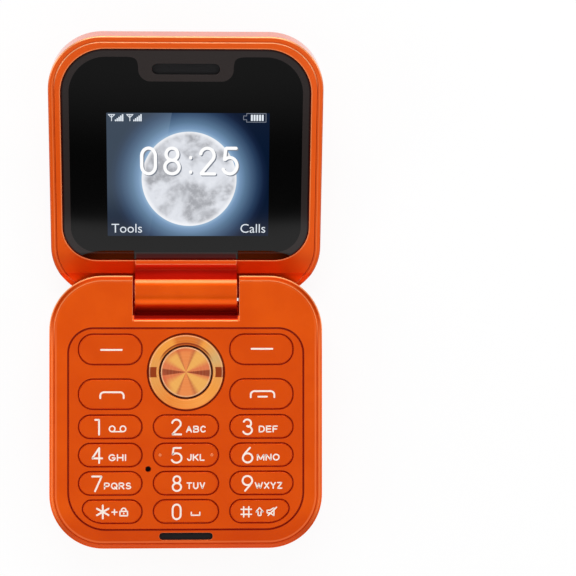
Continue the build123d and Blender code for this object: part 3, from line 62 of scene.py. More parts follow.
GLASS_WIDTH = 53.2
GLASS_START = 5.38
GLASS_LENGTH = 47.07
GLASS_FAR_RADIUS = 9.7
GLASS_FOOT_RADIUS = 7.4
GLASS_SINK = 0.2  # the glass lies this far below the lid's face
SCREEN_X = 0.45
SCREEN_START = 10.85
SCREEN_WIDTH = 34.8
SCREEN_LENGTH = 27.65
PRINT_RAISE = 0.012  # thickness of a printed mark
NAV_CENTRE = (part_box("ok_button")[0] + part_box("ok_button")[1]) / 2


def on_base(height):
    """Places (across, along, up) millimetres on a level plane at that height in metres."""
    def place(points):
        return points * MM + np.array([0, 0, height])
    return place


def on_lid(height):
    """Places (across, along, up) millimetres on the lid, height millimetres above its face."""
    def place(points):
        return (np.array(LID_FOOT) + points[:, :1] * MM * np.array([1.0, 0, 0])
                + points[:, 1:2] * MM * np.array(LID_ALONG)
                + (points[:, 2:] + height) * MM * np.array(LID_UP))
    return place


# ---- camera
CAMERA_PLACE = Vector((0, 26.2, 512.6)) * MM
CAMERA_TURN = math.radians(2.509)  # towards +X, away from straight down
CAMERA_LEAN = 0.00086  # slope of the aim towards +Y
CAMERA_AIM = Vector((math.sin(CAMERA_TURN), CAMERA_LEAN, -math.cos(CAMERA_TURN))).normalized()
SENSOR_WIDTH = 36.0  # in millimetres, like the lens
LENS = 145.5
CLIP_NEAR, CLIP_FAR = 0.01, 20


def add_object(name, data):
    """New object that shows the data, linked to the scene."""
    made = bpy.data.objects.new(name, data)
    bpy.context.scene.collection.objects.link(made)
    return made


def add_camera():
    """Camera almost straight above, whose picture has +Y upwards."""
    data = bpy.data.cameras.new("camera")
    data.lens = LENS
    data.sensor_width = SENSOR_WIDTH
    data.clip_start, data.clip_end = CLIP_NEAR, CLIP_FAR
    camera = add_object("camera", data)
    right = CAMERA_AIM.cross(Vector((0, 1, 0))).normalized()
    up = right.cross(CAMERA_AIM)
    turn = Matrix((right, up, -CAMERA_AIM)).transposed().to_4x4()
    camera.matrix_world = Matrix.Translation(CAMERA_PLACE) @ turn
    bpy.context.scene.camera = camera


# ---- shader maths
NODE_SAMPLES = 6  # rays of a bevel or crevice node
EDGE_SEEN, EDGE_FULL = 0.004, 0.08  # bend of a bevelled normal, as 1 - cosine
GAP_SEEN, GAP_FULL = 0.65, 0.25  # openness where a gap starts to show, and shows fully
LINE_CORE = 0.3  # share of a line's half width that shows fully


def tone(red, green, blue):
    """A colour given as 0 to 255 per channel, turned into linear light."""
    share = np.array([red, green, blue]) / 255
    linear = np.where(share <= 0.04045, share / 12.92, ((share + 0.055) / 1.055) ** 2.4)
    return (*[float(c) for c in linear], 1.0)


def sum_node(operation, swapped=False):
    """Method of Signal that adds a maths node for one operator."""
    def method(self, other=0.0):
        first, second = (other, self) if swapped else (self, other)
        return self.net.math(operation, first, second)
    return method


class Signal:
    """An output socket that sums can be written with."""

    def __init__(self, net, socket):
        self.net = net
        self.socket = socket

    def out(self, name):
        return Signal(self.net, self.socket.node.outputs[name])

    __add__ = __radd__ = sum_node("ADD")
    __sub__ = sum_node("SUBTRACT")
    __rsub__ = sum_node("SUBTRACT", swapped=True)
    __mul__ = __rmul__ = sum_node("MULTIPLY")
    __truediv__ = sum_node("DIVIDE")
    __abs__ = sum_node("ABSOLUTE")


class Net:
    """One material's (or the world's) net of nodes."""

    def __init__(self, tree):
        self.tree = tree
        self.tree.nodes.clear()

    def node(self, kind, settings=None, inputs=None, output=0):
        """Adds a node: its settings first, then values or links for its sockets."""
        made = self.tree.nodes.new(kind)
        for name, value in (settings or {}).items():
            setattr(made, name, value)
        for name, value in (inputs or {}).items():
            if isinstance(value, Signal):
                self.tree.links.new(value.socket, made.inputs[name])
            else:
                made.inputs[name].default_value = value
        return Signal(self, made.outputs[output]) if made.outputs else made

    def math(self, operation, first, second=0.0):
        return self.node("ShaderNodeMath", {"operation": operation}, {0: first, 1: second})

    def larger(self, first, second):
        return self.math("MAXIMUM", first, second)

    def length(self, x, y):
        return self.math("SQRT", x * x + y * y)

    def stripes(self, value, pitch):
        """Up from 0 to 1 and back, once in every pitch."""
        return abs(self.math("SINE", value * (math.pi / pitch)))

    def rise(self, value, low, high):
        """0 at low, 1 at high, smooth between and level beyond; high may be the lesser."""
        return self.node("ShaderNodeMapRange", {"interpolation_type": "SMOOTHSTEP"},
                         {"Value": value, "From Min": low, "From Max": high})

    def below(self, value, limit, soft):
        """1 below the limit and 0 above it, fading over soft to each side."""
        return self.rise(value, limit + soft, limit - soft)

    def mix(self, share, first, second):
        """Colour between first and second."""
        return self.node("ShaderNodeMix", {"data_type": "RGBA"},
                         {"Factor": share, 6: first, 7: second}, output=2)

    def coats(self, colour, *coats):
        """The colour under coats of (share, colour), the first coat lowest."""
        for share, coat in coats:
            colour = self.mix(share, colour, coat)
        return colour

    def ramp(self, value, bands):
        """Colour at value between bands of (colour, one or two values)."""
        found = self.node("ShaderNodeValToRGB", inputs={"Fac": value})
        elements = found.socket.node.color_ramp.elements
        elements.remove(elements[0])
        stops = [(place, colour) for colour, *places in bands for place in places]
        elements[0].position, elements[0].color = stops[0]
        for place, colour in stops[1:]:
            elements.new(place).color = colour
        return found

    def place(self):
        """The point's place in the part's frame, in metres."""
        return self.node("ShaderNodeTexCoord", output="Object")

    def split(self, vector=None):
        """X, Y and Z of the vector, or of the point's place."""
        parts = self.node("ShaderNodeSeparateXYZ", inputs={0: vector or self.place()})
        return parts, parts.out("Y"), parts.out("Z")

    def join(self, x, y, z=0.0):
        return self.node("ShaderNodeCombineXYZ", inputs={"X": x, "Y": y, "Z": z})

    def dot(self, first, second):
        return self.node("ShaderNodeVectorMath", {"operation": "DOT_PRODUCT"},
                         {0: first, 1: second}, output="Value")

    def noise(self, grain, detail=2.0, roughness=0.5, distortion=0.0, place=None):
        """Cloudy noise whose lumps are about grain across, in metres or in the place's unit."""
        return self.node("ShaderNodeTexNoise", inputs={
            "Vector": place or self.place(), "Scale": 1 / grain, "Detail": detail,
            "Roughness": roughness, "Distortion": distortion})

    def bump(self, height, distance, normal=None):
        """Normal that follows height, where a height of 1 stands distance metres proud."""
        inputs = {"Height": height, "Distance": distance, "Strength": 1.0}
        if normal is not None:
            inputs["Normal"] = normal
        return self.node("ShaderNodeBump", inputs=inputs)

    def bevel(self, radius):
        """Normal that rounds sharp edges to that radius in metres."""
        return self.node("ShaderNodeBevel", {"samples": NODE_SAMPLES}, {"Radius": radius})

    def edge_share(self, bevel):
        """0 on open faces, rising to 1 where the bevelled normal leaves the true one."""
        true_normal = self.node("ShaderNodeNewGeometry", output="True Normal")
        return self.rise(1 - self.dot(bevel, true_normal), EDGE_SEEN, EDGE_FULL)

    def crevice(self, reach):
        """0 in the open, rising to 1 deep in a gap narrower than reach metres."""
        openness = self.node("ShaderNodeAmbientOcclusion", {"samples": NODE_SAMPLES},
                             {"Distance": reach}, output="AO")
        return self.rise(openness, GAP_SEEN, GAP_FULL)

    def line(self, distance, half_width):
        """1 along the line where distance is 0, fading out half_width to each side."""
        return self.rise(abs(distance), half_width, half_width * LINE_CORE)

    def rounded_box(self, x, y, half_width, half_length, radius):
        """Distance outside a rounded rectangle, negative inside it; the radius may vary with y."""
        out_x = abs(x) - (half_width - radius)
        out_y = abs(y) - (half_length - radius)
        corner = self.length(self.larger(out_x, 0), self.larger(out_y, 0))
        return corner + self.math("MINIMUM", self.larger(out_x, out_y), 0) - radius


def new_material(name):
    """Material and its net, still empty."""
    material = bpy.data.materials.new(name)
    material.use_nodes = True
    return material, Net(material.node_tree)


def surface(build, name=None):
    """Material named like build, whose Principled sockets are what build(net) returns."""
    material, net = new_material(name or build.__name__)
    shader = net.node("ShaderNodeBsdfPrincipled", inputs=build(net))
    net.node("ShaderNodeOutputMaterial", inputs={"Surface": shader})
    return material


# ---- finishes
# painted shade: deep red deep in gaps, standing in for light bounced between lacquered walls
CREVICE_SHADE_RED = tone(226, 12, 3)
SHADE_RED = tone(240, 22, 0)
EDGE_HIGHLIGHT = tone(255, 176, 116)
GLINT = tone(255, 150, 92)
EDGE_RADIUS = 0.2 * MM
# painted glow of gaps: emission that stands in for bounced red light
PAINTED_GAP_GLOW = tone(62, 2, 0)
GAP_REACH = 0.8 * MM
PEEL_DEPTH = 0.0022 * MM


def painted_gap_glow(net, gap):
    """Sockets for a painted dim red glow in a gap, standing in for light bounced between lacquered walls."""
    return {"Emission Color": net.mix(gap, BLACK, PAINTED_GAP_GLOW), "Emission Strength": 1.0}


def lacquer(net, edge_amount, coats=(), relief=None, shade=0.0, smooth=0.0, gloss=0.0,
            edge_tone=EDGE_HIGHLIGHT, edge_radius=EDGE_RADIUS):
    """Metallic lacquer: cloudy orange, fine flakes, orange peel, painted deep red shade with a painted red glow in
    every gap, and painted highlights on its edges.

    coats are (share, colour) over the body, relief is a height in millimetres, shade is where painted
    shade makes the lacquer deep red and matt, smooth is where an edge below the surface doesn't show,
    and gloss is where the clear coat lies thick.
    """
    cloud = net.noise(9 * MM, 3)
    flake = net.noise(0.07 * MM, 0)
    peel = net.noise(0.5 * MM)
    smudge = net.noise(5 * MM, 4, 0.6, 0.6)
    bevel = net.bevel(edge_radius)
    # painted highlight along edges, or painted shade where edge_tone is dark
    edges = net.edge_share(bevel) * edge_amount * (1 - shade) * (1 - smooth)
    # painted shade: deep red where a gap is narrow and deep
    crevice = net.crevice(GAP_REACH)
    body = net.mix(net.rise(cloud, 0.3, 0.7), tone(226, 80, 2), tone(234, 88, 5))
    body = net.coats(body, (net.rise(flake, 0.62, 0.8) * 0.2, tone(250, 126, 40)),
                     (shade, SHADE_RED), *coats, (edges, edge_tone), (crevice, CREVICE_SHADE_RED))
    normal = net.mix(smooth, bevel, net.node("ShaderNodeNewGeometry", output="Normal"))
    if relief is not None:
        normal = net.bump(relief, MM, normal)
    return {"Base Color": body, "Metallic": (0.62 + shade * 0.3) * (1 - crevice * 0.9),
            "Roughness": 0.27 + smudge * 0.08 + flake * 0.04 + shade * 0.2,
            "Coat Weight": 0.06 + gloss * 0.94 - shade * 0.06, "Coat Roughness": 0.08,
            "Coat IOR": 1.6, "Specular IOR Level": 0.1, **painted_gap_glow(net, crevice),
            "Normal": net.bump(peel + flake * 0.5, PEEL_DEPTH, normal)}


def shell_lacquer(net):
    """Lacquer of the plain outer mouldings, with a painted highlight along every edge."""
    return lacquer(net, 0.6)


HALF_SIZE = 29.25  # of both halves, across and along
CORNER_RADIUS = 11.6
LID_MIDDLE = 25.95  # from the hinge's foot to the middle of the lid
BASE_LINES = (  # groove, brink, outer and inner line, painted as highlight or shade (the groove is also cut)
    (1.06, 0.13), (0.1, 0.2), (0.55, 0.34), (1.42, 0.26))
HEAD_START, HEAD_END = 12, 22  # the painted highlights of the end beside the lid take over here
FOOT_START, FOOT_END = -20, -26  # and the painted shade of the other end here
LIP_START, LIP_EDGE, LIP_END = 19.2, 19.58, 21.8  # painted shade on the lip, with a painted highlight line at its edge
LIP_DEPTH = 0.385  # how far down that painted shade deepens
BARREL_HALF = 11.15
LINE_HALF = 0.13
LINE_DEPTH = 0.07
PANEL_LOW, PANEL_HIGH = [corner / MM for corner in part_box("keypad_panel")]
KEY_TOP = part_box("key_2")[1].z
PANEL_TOP_RADIUS = 5.3
PANEL_FOOT_RADIUS = 8.0


def face_lines(net, inside, face, lines):
    """Lines on a face, each given as (distance inside the outline, half width)."""
    return [net.line(inside - place, half_width) * face for place, half_width in lines]


def base_lacquer(net):
    """Lacquer of the front frame: a groove between two painted highlight lines, painted shade on the lip and
    beside the panel, and painted highlights towards the lid that give way to painted shade towards the other end.
    """
    x, y, z = [part / MM for part in net.split()]
    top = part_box("front_frame")[1].z / MM
    inside = 0 - net.rounded_box(x, y, HALF_SIZE, HALF_SIZE, CORNER_RADIUS)
    face = net.rise(z, top - 0.5, top - 0.3)
    groove, brink, outer, inner = face_lines(net, inside, face, BASE_LINES)
    head = net.rise(y, HEAD_START, HEAD_END)
    foot = net.rise(y, FOOT_START, FOOT_END)
    beside = net.below(abs(x), BARREL_HALF, 0.05) * net.rise(y, LIP_START, LIP_START + 0.2)
    lip = net.rise(z, top - 0.02, top - LIP_DEPTH) * net.rise(y, LIP_END, LIP_END - 0.2)
    glint = net.line(y - LIP_EDGE, 0.16) * net.rise(z, top - 0.2, top - 0.15)
    middle = (PANEL_LOW + PANEL_HIGH) / 2
    half = (PANEL_HIGH - PANEL_LOW) / 2
    corner = PANEL_FOOT_RADIUS + net.rise(y, 0, 1) * (PANEL_TOP_RADIUS - PANEL_FOOT_RADIUS)
    panel = net.rounded_box(x, y - middle.y, half.x, half.y, corner)
    # painted shade on the frame beside the panel's gap
    gap = net.rise(panel, 0.4, 0.2) * face
    # coats of painted light and shade: shade towards the foot end, highlight lines along the outline, shade beside
    # the panel and on the lip, a highlight line at the lip's edge
    coats = (
        (foot * (0.35 + outer * 0.4), tone(184, 38, 0)),
        (outer * (0.4 + head * 0.4 - foot * 0.25), net.mix(head, GLINT, tone(186, 50, 4))),
        (inner * (0.35 - head * 0.3), tone(255, 140, 84)),
        (groove * 0.7, net.mix(head, tone(168, 24, 2), tone(255, 160, 104))),
        (brink * head * 0.8, tone(255, 170, 112)),
        (gap, tone(92, 3, 1)),
        (lip * beside, tone(120, 10, 2)),
        (glint * beside, GLINT))
    return lacquer(net, 0.6 - foot * 0.3, coats, 0 - groove * LINE_DEPTH, lip * beside, gap)


LID_LINES = (  # groove, ridge beside it, parting of the mouldings, rim; groove, ridge and rim painted as highlight or shade
    (1.3, 0.13), (0.88, 0.22), (1.0, 0.4), (0.12, 0.2))
GLASS_LIP = 0.28  # painted highlight on the lip round the glass
WEB_TURN = math.radians(57.5)  # on the barrel, where the painted shade behind it ends
NOSE_TURN = math.radians(125)  # on the barrel, where the painted shade in front begins
WEB_FOOT = -0.5  # turn below which nothing of the web shows
BARREL_REACH = 7.0  # the barrel's painted shades and highlight end here, along the lid
PLATE_HALF_WIDTH = 10.95  # strip between the glass and the web, painted lighter, with a painted highlight line round it
PLATE_HALF_LENGTH = 2.0
PLATE_FOOT = 4.45


def glass_distance(net, across, along):
    """Distance outside the glass's outline, in millimetres."""
    y = along - (GLASS_START + GLASS_LENGTH / 2)
    corner = GLASS_FOOT_RADIUS + net.rise(y, -1, 1) * (GLASS_FAR_RADIUS - GLASS_FOOT_RADIUS)
    return net.rounded_box(across, y, GLASS_WIDTH / 2, GLASS_LENGTH / 2, corner)


def lid_lacquer(net):
    """Lacquer of the lid: a groove, a painted highlight on the lip round the glass, painted shade and highlight
    round the barrel, and painted light and shade across its face.
    """
    across, along, above = lid_place(net)
    inside = 0 - net.rounded_box(across, along - LID_MIDDLE, HALF_SIZE, HALF_SIZE, CORNER_RADIUS)
    face = net.below(abs(above), 0.3, 0.05)
    groove, ridge, parting, rim = face_lines(net, inside, face, LID_LINES)
    lip = net.rise(glass_distance(net, across, along), GLASS_LIP + 0.1, GLASS_LIP - 0.05)
    plate = net.rounded_box(across, along - PLATE_FOOT - PLATE_HALF_LENGTH, PLATE_HALF_WIDTH,
                            PLATE_HALF_LENGTH, 0.1)
    _, y, z = net.split()
    turn = net.math("ARCTAN2", z - HINGE_AXIS.z, y - HINGE_AXIS.y)
    web = net.below(turn, WEB_TURN, 0.02) * net.rise(turn, WEB_FOOT - 0.05, WEB_FOOT)
    nose = net.rise(turn, NOSE_TURN, NOSE_TURN + 0.1)
    barrel = (net.rise(abs(across), BARREL_HALF, BARREL_HALF - 0.1)
              * net.rise(along, BARREL_REACH, BARREL_REACH - 0.5))
    # painted shade on the web behind the barrel and on the barrel's front, a painted highlight on its crown,
    # darker painted shade on the lower web
    shade = (web + nose * 0.7) * barrel * (1 - face)
    crown_highlight = net.line(turn - WEB_TURN - 0.1, 0.12) * barrel * (1 - face)
    low_web = web * net.rise(turn, 0.3, WEB_TURN) * barrel
    # at the far end the groove and rim turn from painted shade to painted highlight
    far = net.rise(along, 43, 50)
    # painted shade on the face near the hinge end
    hinge_end_shade = net.rise(along, 8, 5) * (0.12 + 0.45 * net.rise(abs(across), 26, 16)) * face
    # painted light: the face grows lighter towards its far end and its right side
    bright = 0.25 + net.rise(along, 30, 50) * 0.35 + net.rise(across, 20, 28) * 0.25
    gloss = net.rise(above, -0.2, -0.5) * net.rise(above, -6, -5) * (1 - shade)
    coats = (
        (bright * face, tone(255, 104, 38)),
        (low_web * 0.9, tone(164, 16, 0)),
        (crown_highlight * 0.17, tone(255, 196, 150)),
        (hinge_end_shade, tone(146, 16, 0)),
        (ridge * (1 - far) * 0.5, tone(255, 136, 76)),
        (groove * 0.8, net.mix(far, tone(140, 24, 2), tone(255, 204, 150))),
        (rim * 0.65, net.mix(far, tone(160, 40, 12), tone(255, 196, 140))),
        (net.below(plate, 0, 0.05) * face * 0.9, tone(240, 140, 44)),
        (lip * face * 0.6, GLINT),
        (net.line(plate, LINE_HALF) * face * 0.85, tone(255, 176, 120)))
    return lacquer(net, 0.5, coats, 0 - groove * LINE_DEPTH, shade, parting, gloss)


def key_lacquer(net):
    """Lacquer of the keypad: painted dark shade along its narrow cut edges, and paler homing dots on the middle
    key.
    """
    _, _, z = net.split()
    dots = net.rise(z, KEY_TOP + 0.02 * MM, KEY_TOP + 0.05 * MM)
    coats = (0.25, tone(206, 62, 0)), (dots * 0.7, tone(255, 150, 96))
    return lacquer(net, 1.0, coats, edge_tone=tone(84, 2, 1), edge_radius=0.28 * MM)


def around_centre(net):
    """Up, radius (in millimetres) and turn about the OK button: 0 at 6 o'clock, 0.5 at 12."""
    x, y, _ = net.split()
    x, y = x / MM, (y - NAV_CENTRE.y) / MM
    return y, net.length(x, y), net.math("ARCTAN2", x, y) / math.tau + 0.5


def tool_marks(net, radius, grain):
    """Fine circular lines: noise that changes with the radius alone."""
    return net.noise(grain, 2, 0.7, place=net.join(radius, 0.0))


# painted shade of gaps on metal
GAP_SHADE_BROWN = tone(96, 12, 6)
SHINE = tone(255, 206, 156)
MARK_DEPTH = 0.003 * MM


def spun_metal(net, colour, marks, roughness, bevel, brink=0.0):
    """Sockets of a turned metal part with painted brown shade in every gap and along its brink, and a painted red
    glow in its gaps.
    """
    gap = net.crevice(GAP_REACH)
    return {"Base Color": net.mix(net.larger(gap, brink), colour, GAP_SHADE_BROWN),
            "Metallic": (1 - gap) * 0.45, "Roughness": roughness, "Specular IOR Level": 0.2,
            **painted_gap_glow(net, gap), "Normal": net.bump(marks, MARK_DEPTH, bevel)}


OK_COPPER, OK_GOLD, OK_ROSE = tone(236, 138, 74), tone(240, 174, 88), tone(224, 120, 74)
OK_BROWN, OK_SEAM = tone(150, 62, 36), tone(204, 112, 62)
# painted reflection: sectors that spun metal shows, fixed on the disc
OK_REFLECTION_FAN = [
    (OK_COPPER, 0.0, 0.04), (OK_SEAM, 0.058), (OK_GOLD, 0.08, 0.14), (OK_ROSE, 0.2, 0.224),
    (OK_BROWN, 0.23, 0.27), (OK_ROSE, 0.276, 0.31), (OK_GOLD, 0.36, 0.42), (OK_SEAM, 0.44),
    (OK_COPPER, 0.465, 0.53), (OK_SEAM, 0.56), (OK_GOLD, 0.58, 0.65), (OK_ROSE, 0.7, 0.732),
    (OK_BROWN, 0.738, 0.776), (OK_ROSE, 0.782), (OK_GOLD, 0.82, 0.9), (OK_SEAM, 0.935),
    (OK_COPPER, 0.96, 1.0)]
# radius where the painted highlight round the rim starts
OK_RIM = 5.15


def spun_button(net):
    """Spun metal disc: a painted reflection fan of gold, copper, rose and brown sectors under circular tool marks,
    and a painted highlight round its rim.
    """
    _, radius, turn = around_centre(net)
    marks = tool_marks(net, radius, 0.16)
    outer = net.rise(radius, 3.9, 5.1)
    sides = net.rise(abs(turn - 0.45), 0.16, 0.04) + net.rise(abs(turn - 0.18), 0.1, 0.02)
    colour = net.coats(
        net.ramp(turn, OK_REFLECTION_FAN),
        # painted reflection: reddish towards the rim at the sides
        (outer * sides * 0.6, tone(214, 82, 52)),
        (net.rise(marks, 0.45, 0.75) * 0.2, tone(255, 216, 150)),
        (net.rise(radius, OK_RIM - 0.05, OK_RIM) * 0.8, SHINE))
    return spun_metal(net, colour, marks, 0.3 + marks * 0.16, net.bevel(0.06 * MM))


RING_GOLD, RING_PALE, RING_DEEP = tone(244, 156, 60), tone(232, 156, 76), tone(220, 112, 32)
# painted reflection: tones that brushed metal shows, fixed round the ring
RING_REFLECTION_FAN = [
    (tone(246, 146, 58), 0.0), (tone(238, 134, 46), 0.08), (RING_PALE, 0.2, 0.3),
    (RING_GOLD, 0.36, 0.43), (RING_DEEP, 0.455, 0.54), (tone(208, 112, 50), 0.565),
    (RING_GOLD, 0.59), (tone(214, 172, 110), 0.68), (RING_PALE, 0.76), (RING_GOLD, 0.84),
    (tone(250, 158, 68), 0.92), (tone(246, 146, 58), 1.0)]
RING_OUTER = (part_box("nav_ring")[1].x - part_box("nav_ring")[0].x) / 2 / MM
RING_WIDTH = 2.43
RING_INNER = RING_OUTER - RING_WIDTH
RING_SHINE = RING_OUTER - 0.38  # painted highlight circle just inside the rim
RING_STEP = 6.14  # painted shade circle round the hole's upper half
BLOCK_HALF = 1.1  # of the dark painted reflection block at each side
BLOCK_INNER, BLOCK_OUTER = 6.35, 8.1


def brushed_ring(net):
    """Brushed gold ring: a painted reflection fan, a dark painted reflection block at 3 and at 9 o'clock, painted
    highlights on its edges and rim, and painted shade on its brinks and round the hole's upper half.
    """
    y, radius, turn = around_centre(net)
    marks = tool_marks(net, radius, 0.2)
    # painted reflection: a dark block at each side
    block = (net.below(abs(y), BLOCK_HALF, 0.05) * net.below(radius, BLOCK_OUTER, 0.05)
             * net.rise(radius, BLOCK_INNER - 0.05, BLOCK_INNER + 0.05))
    bevel = net.bevel(0.08 * MM)
    rise = y / radius
    shine = net.line(radius - RING_SHINE, 0.14) * net.rise(rise, -1, 0.4)
    crescent = net.line(radius - RING_STEP, 0.28) * net.rise(rise, 0.3, 0.75)
    # painted shade along the ring's outer and inner brinks
    brink = (net.rise(radius, RING_OUTER - 0.24, RING_OUTER - 0.12)
             + net.rise(radius, RING_INNER + 0.16, RING_INNER + 0.04))
    colour = net.coats(
        net.ramp(turn, RING_REFLECTION_FAN),
        (net.rise(marks, 0.4, 0.8) * 0.25, tone(255, 220, 150)),
        (block, tone(150, 58, 16)),
        (net.edge_share(bevel) * 0.6, tone(255, 210, 160)),
        (shine * 0.5, SHINE),
        (crescent * 0.85, tone(136, 34, 8)))
    return spun_metal(net, colour, marks, 0.26 + marks * 0.14, bevel, brink * 0.85)


BAND_WIDTH = 1.7
NOTCH_HALF_WIDTH = 10.1
NOTCH_FOOT = 45.4
NOTCH_RADIUS = 2.6
NOTCH_FLARE = 3.2  # how softly the notch's sides run into the band
MOON_X, MOON_ALONG = 0.67, 23.75
MOON_RADIUS = 10.2
MOON_STRETCH = 10.6 / MOON_RADIUS  # the disc is taller than wide along the lid
GLOW_REACH = 18.0
GLOW = [
    (tone(170, 200, 226), 0.0), (tone(152, 184, 213), 0.56), (tone(118, 150, 185), 0.606),
    (tone(89, 119, 149), 0.678), (tone(65, 90, 120), 0.75), (tone(38, 60, 90), 0.822),
    (tone(15, 31, 59), 0.894), (tone(4, 21, 46), 0.95)]
# where the painted reflection's slanting edge crosses the screen's foot and head
SHEEN_FOOT_X, SHEEN_HEAD_X = -8.0, -3.0
GLASS_BLACK = tone(2, 2, 2)


def lid_place(net):
    """Place on the lid, in millimetres: across, along from the hinge's foot, and above its face."""
    away = net.node("ShaderNodeVectorMath", {"operation": "SUBTRACT"},
                    {0: net.place(), 1: LID_FOOT})
    across = net.dot(away, Vector((1 / MM, 0, 0)))
    return across, net.dot(away, LID_ALONG / MM), net.dot(away, LID_UP / MM)


def wallpaper(net, across, along):
    """Lit picture: a pale moon-like disc, a blue glow fading to navy and a slanting sheen that is a painted
    reflection.
    """
    spot = across - MOON_X, (along - MOON_ALONG) / MOON_STRETCH
    radius = net.length(*spot)
    slope = (SHEEN_HEAD_X - SHEEN_FOOT_X) / SCREEN_LENGTH
    sheen_edge = SHEEN_FOOT_X + (along - SCREEN_START) * slope
    rise = net.rise(along, SCREEN_START + 2, SCREEN_START + 12)
    # painted reflection: a slanting sheen over the left of the screen
    sheen = net.rise(sheen_edge - across, -0.1, 0.1) * (0.25 + 0.75 * rise)
    seas = net.noise(7.5, 3, 0.55, 0.4, net.join(*spot))
    craters = net.noise(1.6, 5, 0.65, place=net.join(*spot))
    land = net.coats(
        tone(224, 227, 234),
        (net.rise(seas, 0.42, 0.6), tone(166, 168, 174)),
        (net.rise(craters, 0.4, 0.75) * 0.5, tone(240, 242, 248)),
        (net.rise(radius, 0.9 * MOON_RADIUS, MOON_RADIUS) * 0.8, tone(250, 251, 254)))
    return net.coats(net.ramp(radius / GLOW_REACH, GLOW), (sheen * 0.1, tone(180, 205, 225)),
                     (net.below(radius, MOON_RADIUS, 0.06), land))


def printed_glass(net):
    """Black glass with a brown-black printed band round it, painted shade along its edge and at its foot, and the
    lit screen behind it.
    """
    across, along, _ = lid_place(net)
    outside = glass_distance(net, across, along)
    notch_half = (GLASS_START + GLASS_LENGTH - NOTCH_FOOT) / 2 + NOTCH_RADIUS
    notch = net.rounded_box(across, along - (NOTCH_FOOT + notch_half), NOTCH_HALF_WIDTH,
                            notch_half, NOTCH_RADIUS)
    kept = net.node("ShaderNodeMath", {"operation": "SMOOTH_MAX"},
                    {0: outside + BAND_WIDTH, 1: 0 - notch, 2: NOTCH_FLARE})
    grain = net.noise(0.12 * MM, 2)
    foot = net.rise(along, GLASS_START + BAND_WIDTH, GLASS_START + 1.3)
    beside = net.rise(abs(across), PLATE_HALF_WIDTH, PLATE_HALF_WIDTH + 0.2)
    band = net.coats(
        net.mix(grain * 0.5, tone(40, 34, 33), tone(52, 46, 45)),
        # painted shade: dark red along the glass's edge, and darker at its foot beside the plate
        (net.rise(outside, -0.5, -0.2), tone(30, 3, 1)),
        (foot * beside, tone(8, 1, 0)))
    window = net.rounded_box(across - SCREEN_X, along - (SCREEN_START + SCREEN_LENGTH / 2),
                             SCREEN_WIDTH / 2, SCREEN_LENGTH / 2, 0.15)
    lit = net.below(window, 0, 0.03)
    smear = net.noise(12 * MM, 4, 0.6, 0.5)
    return {"Base Color": net.coats(GLASS_BLACK, (net.rise(kept, -0.04, 0.04), band),
                                    (lit, BLACK)),
            "Roughness": 0.03 + smear * 0.02, "IOR": 1.5,
            "Emission Color": net.mix(lit, BLACK, wallpaper(net, across, along)),
            "Emission Strength": 1.0, "Normal": net.bevel(0.05 * MM)}


FINE_PITCH = 0.22 * MM  # of the mesh's wires and of the display's ripple
RIPPLE_LOW = 0.94  # least light of that ripple


def woven_mesh(net):
    """Black woven screen: two crossing sets of fine wires, with painted shade where it lies deep."""
    x, y, z = net.split()
    wires = net.larger(net.stripes(x, FINE_PITCH), net.stripes(y + z, FINE_PITCH))
    colour = net.coats(tone(2, 2, 3), (wires, tone(15, 14, 16)),
                       (net.crevice(1.5 * MM) * 0.8, GLASS_BLACK))
    return {"Base Color": colour, "Roughness": 0.6, "Specular IOR Level": 0.2,
            "Normal": net.bump(wires, 0.03 * MM)}


# deep is the colour of painted shade in the finish's crevices
def moulded(dark, light, grain, roughness, depth, deep=tone(8, 4, 3), **fixed):
    """Maker of a plain moulded or rolled finish: two tones, fine grain, slight relief and painted crevice shade.
    """
    def build(net):
        fine = net.noise(grain * MM, 3)
        broad = net.noise(6 * MM, 3)
        colour = net.coats(dark, (net.rise(fine * 0.5 + broad * 0.5, 0.35, 0.65), light),
                           (net.crevice(2 * MM) * 0.8, deep))
        return {"Base Color": colour, "Roughness": roughness + fine * 0.1,
                "Normal": net.bump(fine, depth * MM, net.bevel(0.05 * MM)), **fixed}
    return build


def circuit_board(net):
    """Green solder mask with copper tracks showing through and small gold pads."""
    x, y, _ = net.split()
    track_x, track_y = net.stripes(x, 0.6 * MM), net.stripes(y, 0.9 * MM)
    choice = net.rise(net.noise(5 * MM, 1), 0.48, 0.52)
    tracks = net.rise(choice * track_x + (1 - choice) * track_y, 0.75, 0.85)
    crossings = net.rise(track_x * track_y, 0.93, 0.96)
    pads = crossings * net.rise(net.noise(2 * MM, 1), 0.55, 0.6)
    colour = net.coats(tone(12, 74, 40), (tracks, tone(22, 104, 58)), (pads, tone(212, 170, 84)))
    return {"Base Color": colour, "Metallic": pads * 0.9, "Roughness": 0.4 - pads * 0.1,
            "Normal": net.bump(tracks, 0.02 * MM)}


def brushed_steel(net):
    """Rolled steel with fine lines along X, and painted shade in its crevices."""
    x, y, z = net.split()
    lines = net.noise(0.08 * MM, 3, 0.6, place=net.join(x * 0.04, y, z))
    colour = net.coats(tone(150, 150, 152), (net.noise(4 * MM, 3), tone(196, 196, 198)),
                       (net.crevice(2 * MM) * 0.8, tone(20, 10, 8)))
    return {"Base Color": colour, "Metallic": 1.0, "Roughness": 0.25 + lines * 0.2,
            "Normal": net.bump(lines, 0.002 * MM, net.bevel(0.05 * MM))}


def white_print(net):
    """White legend ink with a slightly uneven surface."""
    grain = net.noise(0.1 * MM, 2)
    return {"Base Color": net.mix(grain * 0.6, tone(246, 234, 222), tone(228, 212, 200)),
            "Roughness": 0.4 + grain * 0.1, "Normal": net.bump(grain, 0.001 * MM)}


